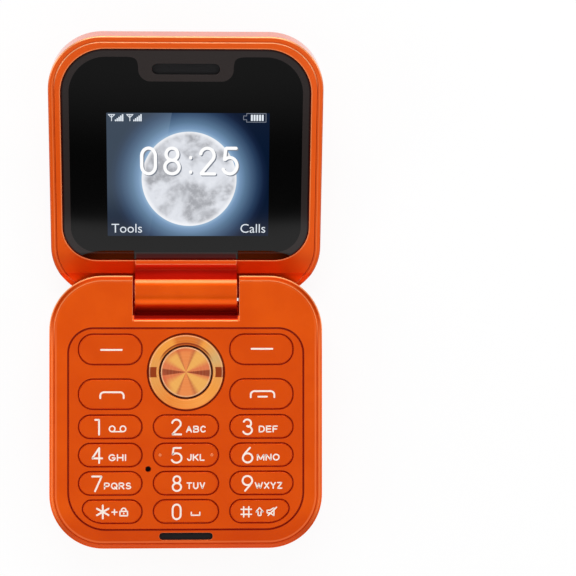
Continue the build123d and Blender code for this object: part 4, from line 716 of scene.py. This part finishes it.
def lit_tone(colour):
    """Maker of a picture element that shines in one tone, finely rippled like a display."""
    def build(net):
        dimmed = tuple(RIPPLE_LOW * c for c in colour[:3]) + (1.0,)
        light = net.mix(net.stripes(net.split()[0], FINE_PITCH), dimmed, colour)
        return {"Base Color": GLASS_BLACK, "Roughness": 0.4, "Emission Color": light,
                "Emission Strength": 1.0}
    return build


MOULDED = {  # slot: name, dark, light, grain, roughness, relief, and for some the colour of painted crevice shade
    "dark_plastic": ("dark_moulding", tone(24, 24, 26), tone(40, 40, 42), 0.3, 0.5, 0.004),
    "display": ("display_panel", tone(20, 30, 60), tone(40, 60, 100), 0.2, 0.15, 0.001),
    # painted red shade in the silicone's crevices
    "silicone": ("keypad_silicone", tone(84, 34, 24), tone(104, 46, 34), 0.4, 0.45, 0.003,
                 tone(130, 12, 6)),
    "film": ("amber_film", tone(190, 120, 30), tone(220, 150, 50), 0.5, 0.25, 0.002),
    "chip_black": ("chip_epoxy", tone(18, 18, 19), tone(34, 34, 35), 0.1, 0.55, 0.002),
    "battery_wrap": ("battery_wrap", tone(40, 42, 46), tone(58, 60, 66), 0.6, 0.3, 0.002),
    "foam": ("foam_pad", tone(22, 22, 22), tone(44, 44, 44), 0.15, 0.85, 0.03),
}
FINISHES = {slot: surface(moulded(*look), name) for slot, (name, *look) in MOULDED.items()}
FINISHES.update(
    orange_plastic=surface(shell_lacquer), cover_glass=surface(printed_glass),
    mesh=surface(woven_mesh), circuit_board=surface(circuit_board), steel=surface(brushed_steel))
KEY_FINISH = surface(key_lacquer)
LID_FINISH = surface(lid_lacquer)
# deep red colour with painted red crevice shade and a painted red glow, so that gaps round the hinge and rocker
# look lit by red bounced light
RED_GLOW_MOULDING = surface(moulded(
    tone(150, 14, 6), tone(170, 22, 8), 0.3, 0.5, 0.003, tone(150, 8, 2),
    **{"Emission Color": PAINTED_GAP_GLOW, "Emission Strength": 1.0}), "red_glow_moulding")
OWN_FINISHES = dict(
    nav_ring=surface(brushed_ring), ok_button=surface(spun_button),
    front_frame=surface(base_lacquer), lid_inner_frame=LID_FINISH, lid_outer_shell=LID_FINISH,
    keypad_panel=KEY_FINISH, nav_rocker=RED_GLOW_MOULDING, hinge_bush=RED_GLOW_MOULDING,
    hinge_shaft=RED_GLOW_MOULDING, hinge_cartridge=RED_GLOW_MOULDING)
PRINT_WHITE = surface(white_print)
LIT_WHITE = surface(lit_tone(tone(255, 255, 255)), "lit_white")
LIT_SHADE = surface(lit_tone(tone(112, 120, 134)), "lit_shade")
LIT_PALE = surface(lit_tone(tone(226, 234, 242)), "lit_pale")


def finish_nodes():
    """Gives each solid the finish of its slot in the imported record."""
    for row in frame["record"]["subparts"]:
        name = row["node"]
        finish = OWN_FINISHES.get(name) or FINISHES[row["material_slot"]]
        if name.startswith("key_"):
            finish = KEY_FINISH
        slots = nodes[name].data.materials
        slots.clear()
        slots.append(finish)


# ---- line work for legends
def arc(centre_x, centre_y, radius_x, radius_y, start, end):
    """Ellipse from start to end degrees: centre + radii times (cosine, sine)."""
    turn = np.radians(np.linspace(start, end, 25))
    return np.column_stack([centre_x + radius_x * np.cos(turn), centre_y + radius_y * np.sin(turn)])


def run(pieces):
    """One line through points and arcs, in order."""
    return np.vstack([np.atleast_2d(np.array(piece, float)) for piece in pieces])


def ring(centre_x=0.5, centre_y=0.5, radius_x=0.5, radius_y=0.5):
    """Closed ellipse."""
    return arc(centre_x, centre_y, radius_x, radius_y, 0, 360)


# Each sign's strokes, in a box one by one; a stroke is points and arcs in order, closed
# where its ends meet.
STROKES = {
    "0": [[arc(0.5, 0.69, 0.5, 0.31, 0, 180), arc(0.5, 0.31, 0.5, 0.31, 180, 360), (1, 0.69)]],
    "1": [[(0, 1), (1, 1), (1, 0)]],
    "2": [[arc(0.49, 0.72, 0.47, 0.28, 168, -32), (0.04, 0.0), (1, 0)]],
    "3": [[arc(0.46, 0.745, 0.44, 0.255, 155, -75)], [arc(0.48, 0.275, 0.52, 0.275, 96, -158)]],
    "4": [[(0.7, 1), (0, 0.31), (1, 0.31)], [(0.7, 1), (0.7, 0)]],
    "5": [[(0.92, 1), (0.2, 1), (0.1, 0.54), arc(0.48, 0.32, 0.52, 0.32, 125, -155)]],
    "6": [ring(0.5, 0.31, 0.5, 0.31), [(0.74, 1), (0.3, 0.68), (0.07, 0.47)]],
    "7": [[(0, 1), (1, 1), (0.3, 0)]],
    "8": [ring(0.5, 0.765, 0.41, 0.235), ring(0.5, 0.265, 0.5, 0.265)],
    "9": [ring(0.5, 0.69, 0.5, 0.31), [(0.26, 0), (0.7, 0.32), (0.93, 0.53)]],
    ":": [[(0.5, 0.62), (0.5, 0.64)], [(0.5, 0.06), (0.5, 0.08)]],
    "star": [[(0.5, 0), (0.5, 1)], [(0, 0.25), (1, 0.75)], [(0, 0.75), (1, 0.25)]],
    "hash": [[(0.25, 0), (0.25, 1)], [(0.75, 0), (0.75, 1)],
             [(0, 0.25), (1, 0.25)], [(0, 0.75), (1, 0.75)]],
    "A": [[(0, 0), (0.5, 1), (1, 0)], [(0.2, 0.33), (0.8, 0.33)]],
    "B": [[(0, 0.52), (0.6, 0.52), arc(0.6, 0.76, 0.34, 0.24, -90, 90), (0, 1), (0, 0)],
          [(0, 0), (0.6, 0), arc(0.62, 0.26, 0.38, 0.26, -90, 90), (0.3, 0.52)]],
    "C": [[arc(0.5, 0.5, 0.5, 0.5, 42, 318)]],
    "D": [[(0, 0), (0, 1), (0.4, 1), arc(0.4, 0.5, 0.6, 0.5, 90, -90), (0, 0)]],
    "E": [[(1, 1), (0, 1), (0, 0), (1, 0)], [(0, 0.52), (0.9, 0.52)]],
    "F": [[(1, 1), (0, 1), (0, 0)], [(0, 0.5), (0.85, 0.5)]],
    "G": [[arc(0.5, 0.5, 0.5, 0.5, 45, 340), (1, 0.46), (0.55, 0.46)]],
    "H": [[(0, 0), (0, 1)], [(1, 0), (1, 1)], [(0, 0.5), (1, 0.5)]],
    "I": [[(0.5, 0), (0.5, 1)]],
    "J": [[(1, 1), arc(0.5, 0.33, 0.5, 0.33, 0, -165)]],
    "K": [[(0, 0), (0, 1)], [(1, 1), (0.02, 0.36)], [(0.34, 0.6), (1, 0)]],
    "L": [[(0, 1), (0, 0), (1, 0)]],
    "M": [[(0, 0), (0, 1), (0.5, 0.12), (1, 1), (1, 0)]],
    "N": [[(0, 0), (0, 1), (1, 0), (1, 1)]],
    "O": [ring()],
    "P": [[(0, 0), (0, 1), (0.62, 1), arc(0.62, 0.72, 0.38, 0.28, 90, -90), (0.05, 0.44)]],
    "Q": [ring(), [(0.62, 0.3), (1, -0.04)]],
    "R": [[(0, 0), (0, 1), (0.6, 1), arc(0.6, 0.74, 0.38, 0.26, 90, -90), (0.05, 0.48)],
          [(0.5, 0.46), (1, 0)]],
    "S": [[arc(0.5, 0.745, 0.42, 0.255, 35, 250), arc(0.5, 0.26, 0.48, 0.26, 75, -150)]],
    "T": [[(0, 1), (1, 1)], [(0.5, 1), (0.5, 0)]],
    "U": [[(0, 1), arc(0.5, 0.4, 0.5, 0.4, 180, 360), (1, 1)]],
    "V": [[(0, 1), (0.5, 0), (1, 1)]],
    "W": [[(0, 1), (0.27, 0), (0.5, 0.9), (0.73, 0), (1, 1)]],
    "X": [[(0, 0), (1, 1)], [(0, 1), (1, 0)]],
    "Y": [[(0, 1), (0.5, 0.46), (1, 1)], [(0.5, 0.46), (0.5, 0)]],
    "Z": [[(0, 1), (1, 1), (0, 0), (1, 0)]],
    "dash": [[(0, 0.5), (1, 0.5)]],
    "hook": [[(0, 0), (0, 0.4), arc(0.16, 0.4, 0.16, 0.6, 180, 90),
              arc(0.84, 0.4, 0.16, 0.6, 90, 0), (1, 0)]],
    "voicemail": [ring(0.17, 0.5, 0.17, 0.5), ring(0.83, 0.5, 0.17, 0.5), [(0.17, 0), (0.83, 0)]],
    "space": [[(0, 1), (0, 0), (1, 0), (1, 1)]],
    "plus": [[(0.5, 0), (0.5, 1)], [(0, 0.5), (1, 0.5)]],
    "lock": [[(0, 0), (1, 0), (1, 0.58), (0, 0.58), (0, 0)],
             [(0.2, 0.6), (0.2, 0.7), arc(0.5, 0.72, 0.3, 0.28, 180, 0), (0.8, 0.6)],
             [(0.5, 0.26), (0.5, 0.34)]],
    "shift": [[(0.5, 1), (1, 0.46), (0.7, 0.46), (0.7, 0), (0.3, 0), (0.3, 0.46), (0, 0.46),
               (0.5, 1)]],
    "quiet": [[(0, 0.32), (0.3, 0.32), (0.72, 0), (0.72, 0.92), (0.3, 0.64), (0, 0.64),
               (0, 0.32)], [(0.1, 0.02), (1, 0.98)]],
    "aerial": [[(0.5, 0), (0.5, 1)], [(0, 1), (0.5, 0.52), (1, 1)], [(0, 1), (1, 1)]],
    "cell": [[(0.14, 0), (1, 0), (1, 1), (0.14, 1), (0.14, 0.72), (0, 0.72), (0, 0.28),
              (0.14, 0.28), (0.14, 0)]],
}
LETTER_WIDTHS = dict(I=0.28, J=0.8, L=0.85, E=0.9, F=0.85, M=1.25, W=1.5, O=1.15, Q=1.15, G=1.1)
LETTER_SPACE = 0.22
STACK_STEP = 0.0015  # each stroke of a sign stands this much prouder
LINE_STEP, LINE_WINDOW = 1 / 6, 0.35  # point spacing and averaging, as shares of the width
END_PLACES = np.sin(np.radians([25, 50, 70, 84]))  # points past an open end, in half widths


def smooth_line(points, step, window):
    """Points at an even step along a line, each then averaged over a window of that length."""
    closed = np.allclose(points[0], points[-1], atol=1e-6)
    reached = np.concatenate([[0], np.cumsum(np.linalg.norm(np.diff(points, axis=0), axis=1))])
    count = max(int(reached[-1] / step), 8)
    even = np.linspace(0, reached[-1], count + 1)
    line = np.column_stack([np.interp(even, reached, points[:, axis]) for axis in (0, 1)])
    reach = max(int(round(window / step / 2)), 1)
    if closed:
        padded = np.vstack([line[-reach - 1:-1], line, line[1:reach + 1]])
    else:
        reach = min(reach, count)
        padded = np.vstack([2 * line[0] - line[reach:0:-1], line,
                            2 * line[-1] - line[-2:-reach - 2:-1]])
    kernel = np.ones(2 * reach + 1) / (2 * reach + 1)
    line = np.column_stack([np.convolve(padded[:, axis], kernel, "valid") for axis in (0, 1)])
    return line, closed


def ribbon(points, width, thickness):
    """A flat bar carried along a line: half the width to each side along its perpendicular.

    At an open end the half width falls as sqrt(r * r - d * d) past the end, a half circle.
    """
    line, closed = smooth_line(points, width * LINE_STEP, width * LINE_WINDOW)
    radius = width / 2
    if closed:
        line = line[:-1]
        ahead = np.roll(line, -1, 0) - np.roll(line, 1, 0)
        half = np.full(len(line), radius)
    else:
        ahead = np.gradient(line, axis=0)
        extra = len(END_PLACES)
        past = END_PLACES * radius
        shrink = np.sqrt(radius * radius - past * past)
        half = np.concatenate([shrink[::-1], np.full(len(line), radius), shrink])
        first, last = [v / np.linalg.norm(v) for v in (ahead[0], ahead[-1])]
        line = np.vstack([line[0] - first * past[::-1, None], line, line[-1] + last * past[:, None]])
        ahead = np.vstack([np.tile(first, (extra, 1)), ahead, np.tile(last, (extra, 1))])
    ahead = ahead / np.linalg.norm(ahead, axis=1)[:, None]
    aside = np.column_stack([-ahead[:, 1], ahead[:, 0]]) * half[:, None]
    corners = [np.column_stack([line + side * aside, np.full(len(line), height)])
               for side, height in ((1, 0), (1, thickness), (-1, thickness), (-1, 0))]
    points = np.stack(corners, 1).reshape(-1, 3)
    count = len(line)
    first = np.arange(count if closed else count - 1)
    second = (first + 1) % count
    faces = [(4 * a + k, 4 * a + (k + 1) % 4, 4 * b + (k + 1) % 4, 4 * b + k)
             for a, b in zip(first, second) for k in range(4)]
    if not closed:
        end = 4 * (count - 1)
        faces += [(3, 2, 1, 0), (end, end + 1, end + 2, end + 3)]
    return points, faces


def sign(name, box, stroke):
    """The strokes of one sign, fitted into box = (left, right, low, high).

    Each stroke is a hair thicker than the one before, so that a crossing shows one top.
    """
    left, right, low, high = box
    inset = stroke / 2
    low_corner = np.array([left + inset, low + inset])
    span = np.array([right - left - stroke, high - low - stroke])
    return [ribbon(low_corner + run(pieces) * span, stroke, PRINT_RAISE + STACK_STEP * order)
            for order, pieces in enumerate(STROKES[name])]


def signs(rows):
    """The parts of several signs, each given as (name, box, stroke)."""
    return [part for name, box, stroke in rows for part in sign(name, box, stroke)]


def moved(parts, x, y):
    """The parts, moved on their plane."""
    return [(points + np.array([x, y, 0]), faces) for points, faces in parts]


def letters(text, box, stroke):
    """Capital letters side by side in box, each as wide as its own share."""
    left, right, low, high = box
    shares = [LETTER_WIDTHS.get(letter, 1.0) for letter in text]
    unit = (right - left - LETTER_SPACE * (len(text) - 1)) / sum(shares)
    rows = []
    for letter, share in zip(text, shares):
        rows.append((letter, (left, left + share * unit, low, high), stroke))
        left += share * unit + LETTER_SPACE
    return signs(rows)


def bar(left, right, low, high):
    """Upright rectangular bar."""
    points = np.array([(x, y, z) for z in (0, PRINT_RAISE) for x, y in (
        (left, low), (right, low), (right, high), (left, high))])
    return points, [(3, 2, 1, 0), (4, 5, 6, 7), (0, 1, 5, 4), (1, 2, 6, 5), (2, 3, 7, 6), (3, 0, 4, 7)]


def words(text, side, at_end=False):
    """Printed word that starts, or ends, at that place near the screen's lower edge."""
    data = bpy.data.curves.new("type", "FONT")
    data.body = text
    data.extrude = 0.5  # half the thickness before it is scaled
    data.offset = WORD_THINNING
    data.resolution_u = WORD_STEPS
    holder = add_object("type", data)
    bpy.context.view_layer.update()
    solid = holder.evaluated_get(bpy.context.evaluated_depsgraph_get())
    mesh = bpy.data.meshes.new_from_object(solid)
    points = np.array([vertex.co for vertex in mesh.vertices])
    faces = [tuple(polygon.vertices) for polygon in mesh.polygons]
    bpy.data.objects.remove(holder)
    bpy.data.meshes.remove(mesh)
    low, high = points.min(0), points.max(0)
    scale = WORD_HEIGHT / (high[1] - low[1])
    left = side - (high[0] - low[0]) * scale if at_end else side
    return [(np.array([left, WORD_FOOT, 0]) + (points - low) * [scale, scale, PRINT_RAISE], faces)]


def add_piece(name, parts, place, finish, body):
    """One object from (points, faces) parts, placed in the part's frame and riding a body."""
    counts = np.cumsum([0] + [len(points) for points, _ in parts])
    points = place(np.vstack([points for points, _ in parts]))
    faces = [tuple(int(start) + int(corner) for corner in face)
             for start, (_, part_faces) in zip(counts, parts) for face in part_faces]
    mesh = bpy.data.meshes.new(name)
    mesh.from_pydata(points.tolist(), [], faces)
    mesh.materials.append(finish)
    piece = add_object(name, mesh)
    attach(piece, body)


# ---- key legends
DIGIT_STROKE = 0.39
SIGN_STROKE = 0.38
DASH_STROKE = 0.36
HASH_STROKE = 0.3
SMALL_STROKE = 0.28  # of letters and small signs
DIGIT_LOW, DIGIT_HIGH = -1.85, 1.7  # from the key's middle
LETTER_LOW, LETTER_HIGH = -1.28, 0.2
SIGN_HEIGHTS = dict(voicemail=(-1.18, 0.3), space=(-0.95, -0.05))
# digit: its left and right on the key, then letters or a sign with theirs
NUMBER_LEGENDS = {
    "1": (-3.4, -2.2, "voicemail", -0.35, 3.45),
    "2": (-3.2, -0.85, "ABC", 0.0, 4.35),
    "3": (-4.1, -1.85, "DEF", -0.6, 3.5),
    "4": (-4.05, -1.55, "GHI", -0.4, 3.45),
    "5": (-3.25, -0.75, "JKL", 0.2, 4.0),
    "6": (-4.2, -1.75, "MNO", -1.0, 3.9),
    "7": (-4.05, -1.65, "PQRS", -1.35, 4.5),
    "8": (-3.05, -0.85, "TUV", 0.1, 4.1),
    "9": (-4.25, -1.8, "WXYZ", -1.45, 4.5),
    "0": (-3.05, -0.95, "space", 1.0, 3.1),
}
# key: signs, each with its box from the key's middle and its stroke
SIGN_LEGENDS = dict(
    soft_left=[("dash", (-2.15, 2.65, -0.3, 0.1), SIGN_STROKE)],
    soft_right=[("dash", (-2.3, 2.5, -0.1, 0.3), SIGN_STROKE)],
    call=[("hook", (-2.33, 3.05, -1.03, 0.62), SIGN_STROKE)],
    end=[("hook", (-2.5, 2.95, -0.88, 0.8), SIGN_STROKE),
         ("dash", (-0.88, 1.35, -0.76, -0.4), DASH_STROKE)],
    star=[("star", (-3.45, -0.6, -1.6, 1.55), DIGIT_STROKE),
          ("plus", (-0.2, 1.15, -0.75, 0.6), SMALL_STROKE),
          ("lock", (1.5, 3.4, -1.0, 0.9), SMALL_STROKE)],
    hash=[("hash", (-4.1, -1.6, -1.35, 1.1), HASH_STROKE),
          ("shift", (-0.9, 0.9, -1.05, 0.9), SMALL_STROKE),
          ("quiet", (1.5, 3.8, -1.1, 1.0), SMALL_STROKE)])


def key_legend(name, parts):
    """Places marks given round the key's middle on top of the key."""
    key = "key_" + name
    low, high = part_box(key)
    middle = (low + high) / 2 / MM
    top = high.z if name != "5" else KEY_TOP  # under the homing dots
    add_piece("legend_" + name, moved(parts, middle.x, middle.y), on_base(top), PRINT_WHITE, key)


def add_key_legends():
    """Digits, letter groups and signs on the sixteen keys."""
    for digit, (left, right, extra, *sides) in NUMBER_LEGENDS.items():
        parts = sign(digit, (left, right, DIGIT_LOW, DIGIT_HIGH), DIGIT_STROKE)
        if extra in SIGN_HEIGHTS:
            parts += sign(extra, (*sides, *SIGN_HEIGHTS[extra]), SMALL_STROKE)
        else:
            parts += letters(extra, (*sides, LETTER_LOW, LETTER_HIGH), SMALL_STROKE)
        key_legend(digit, parts)
    for name, rows in SIGN_LEGENDS.items():
        key_legend(name, signs(rows))


# ---- screen marks
CLOCK = [("0", -9.85, -6.2), ("8", -4.9, -1.1), (":", 0.5, 1.5), ("2", 2.7, 6.5), ("5", 7.6, 11.3)]
CLOCK_LOW, CLOCK_HIGH = 24.6, 31.05
CLOCK_STROKE = 0.7
CLOCK_SHADE = (0.22, -0.22)
SHADE_HEIGHT = 0.004  # above the glass, in millimetres
MARK_HEIGHT = 0.02
AERIALS = (-16.6, -12.7)  # left sides of the two signal signs
AERIAL_WIDTH = 1.5
AERIAL_LOW, AERIAL_HIGH = 36.65, 38.2
AERIAL_STROKE = 0.16
BARS = 5  # in each signal sign and in the battery
SIGNAL_START, SIGNAL_PITCH, SIGNAL_WIDTH = 1.45, 0.38, 0.3
SIGNAL_LOWEST, SIGNAL_RISE = 0.35, 0.3
CELL_BOX = (12.2, 17.15, 36.45, 38.5)
CELL_STROKE = 0.15
CHARGE_START, CHARGE_PITCH, CHARGE_WIDTH = 13.85, 0.58, 0.4
CHARGE_INSET = 0.35
WORD_LEFT, WORD_RIGHT = -16.1, 17.2
WORD_FOOT, WORD_HEIGHT = 11.6, 2.0
WORD_THINNING = -0.004
WORD_STEPS = 5  # of each curve


def on_screen(name, parts, finish, height=MARK_HEIGHT):
    """Marks that lie on the lit screen's glass."""
    add_piece(name, parts, on_lid(height - GLASS_SINK), finish, "lid")


def add_screen_marks():
    """Clock with its shade, two signal signs, a battery sign and two soft-key words."""
    clock = signs((name, (left, right, CLOCK_LOW, CLOCK_HIGH), CLOCK_STROKE)
                  for name, left, right in CLOCK)
    on_screen("clock_shade", moved(clock, *CLOCK_SHADE), LIT_SHADE, SHADE_HEIGHT)
    on_screen("clock_digits", clock, LIT_WHITE)
    marks = []
    for side in AERIALS:
        marks += sign("aerial", (side, side + AERIAL_WIDTH, AERIAL_LOW, AERIAL_HIGH), AERIAL_STROKE)
        for step in range(BARS):
            left = side + SIGNAL_START + SIGNAL_PITCH * step
            top = AERIAL_LOW + SIGNAL_LOWEST + SIGNAL_RISE * step
            marks.append(bar(left, left + SIGNAL_WIDTH, AERIAL_LOW, top))
    for step in range(BARS):
        left = CHARGE_START + CHARGE_PITCH * step
        marks.append(bar(left, left + CHARGE_WIDTH, CELL_BOX[2] + CHARGE_INSET,
                         CELL_BOX[3] - CHARGE_INSET))
    on_screen("status_signs", marks, LIT_PALE)
    on_screen("battery_outline", sign("cell", CELL_BOX, CELL_STROKE), LIT_SHADE)
    labels = words("Tools", WORD_LEFT) + words("Calls", WORD_RIGHT, at_end=True)
    on_screen("soft_key_words", labels, LIT_PALE)


# ---- stage
FLOOR_HALF = 2.0
FLOOR_DROP = 0.05 * MM
FLOOR_PLAIN = 0.9  # share of plain white under the phone
FLOOR_NEAR, FLOOR_FAR = 0.14, 0.45  # where the rest of it hands over to plain white


def floor_finish():
    """Pale matt floor that keeps the shadow, plain white far out and clear from below."""
    material, net = new_material("floor")
    x, y, _ = net.split()
    radius = net.length(x, y)
    grain = net.noise(3 * MM, 3)
    pale = net.mix(grain, (0.9, 0.9, 0.9, 1), (0.92, 0.92, 0.92, 1))
    matt = net.node("ShaderNodeBsdfDiffuse", inputs={"Color": pale})
    white = net.node("ShaderNodeEmission", inputs={"Color": WHITE, "Strength": 1.0})
    ray = net.node("ShaderNodeLightPath")
    seen = net.larger(net.larger(ray, ray.out("Is Glossy Ray")), ray.out("Is Transmission Ray"))
    plain = FLOOR_PLAIN + (1 - FLOOR_PLAIN) * net.rise(radius, FLOOR_NEAR, FLOOR_FAR)
    above = net.node("ShaderNodeMixShader", inputs={"Fac": plain * seen, 1: matt, 2: white})
    clear = net.node("ShaderNodeBsdfTransparent")
    below = net.node("ShaderNodeNewGeometry", output="Backfacing")
    both = net.node("ShaderNodeMixShader", inputs={"Fac": below, 1: above, 2: clear})
    net.node("ShaderNodeOutputMaterial", inputs={"Surface": both})
    return material


def add_floor():
    """Level square under the phone."""
    corners = ((-1, -1), (1, -1), (1, 1), (-1, 1))
    mesh = bpy.data.meshes.new("floor")
    mesh.from_pydata([(x * FLOOR_HALF, y * FLOOR_HALF, -FLOOR_DROP) for x, y in corners], [],
                     [(0, 1, 2, 3)])
    mesh.materials.append(floor_finish())
    floor = add_object("floor", mesh)


def add_lamp(name, place, size, radiance):
    """Soft rectangular lamp aimed at the phone; radiance 1 looks as bright as white paper."""
    data = bpy.data.lights.new(name, "AREA")
    data.shape = "RECTANGLE"
    data.size, data.size_y = size
    data.energy = radiance * math.pi * size[0] * size[1]
    lamp = add_object(name, data)
    lamp.location = place
    lamp.rotation_euler = (LAMP_AIM - Vector(place)).to_track_quat("-Z", "Y").to_euler()


CEILING_CORE = math.cos(math.radians(22))  # the overhead light is even above this height
CEILING_EDGE = math.cos(math.radians(34.5))
HAZE_EDGE = math.cos(math.radians(36.8))  # its faint rim ends here
FRONT_EDGE = math.cos(math.radians(38.3))  # upper edge of the pale front wall
FRONT_SOFT = 0.002
LAMP_AIM = Vector((0, 26, 0)) * MM
LAMPS = dict(  # place and size in metres, and radiance
    lamp_back=((0, 0.6, 0.47), (0.8, 0.24), 5.6),
    lamp_left=((-0.62, 0, 0.36), (0.6, 0.4), 2.5),
    lamp_right=((0.62, 0, 0.36), (0.6, 0.4), 2.1),
    lamp_front=((0, -0.6, 0.4), (0.8, 0.3), 1.1))


def add_light():
    """Studio light: a soft one overhead, pale walls, a grey front wall and four soft lamps."""
    world = bpy.data.worlds.new("studio")
    bpy.context.scene.world = world
    world.use_nodes = True
    net = Net(world.node_tree)
    _, y, height = net.split(net.node("ShaderNodeTexCoord", output="Generated"))
    overhead = (net.rise(height, HAZE_EDGE, CEILING_EDGE) * 0.2
                + net.rise(height, CEILING_EDGE, CEILING_CORE) * 0.62)
    walls = net.rise(height, 0.4, 0.15)
    front = net.rise(height, FRONT_EDGE, FRONT_EDGE - FRONT_SOFT) * net.rise(y, -0.3, -0.5)
    level = net.larger(net.larger(overhead, walls), front * 0.6) + 0.03
    back = net.node("ShaderNodeBackground", inputs={
        "Color": net.mix(level, BLACK, WHITE), "Strength": 1.0})
    net.node("ShaderNodeOutputWorld", inputs={"Surface": back})
    for name, row in LAMPS.items():
        add_lamp(name, *row)


add_camera()
finish_nodes()
add_key_legends()
add_screen_marks()
add_floor()
add_light()
bpy.context.scene.view_settings.view_transform = "Standard"
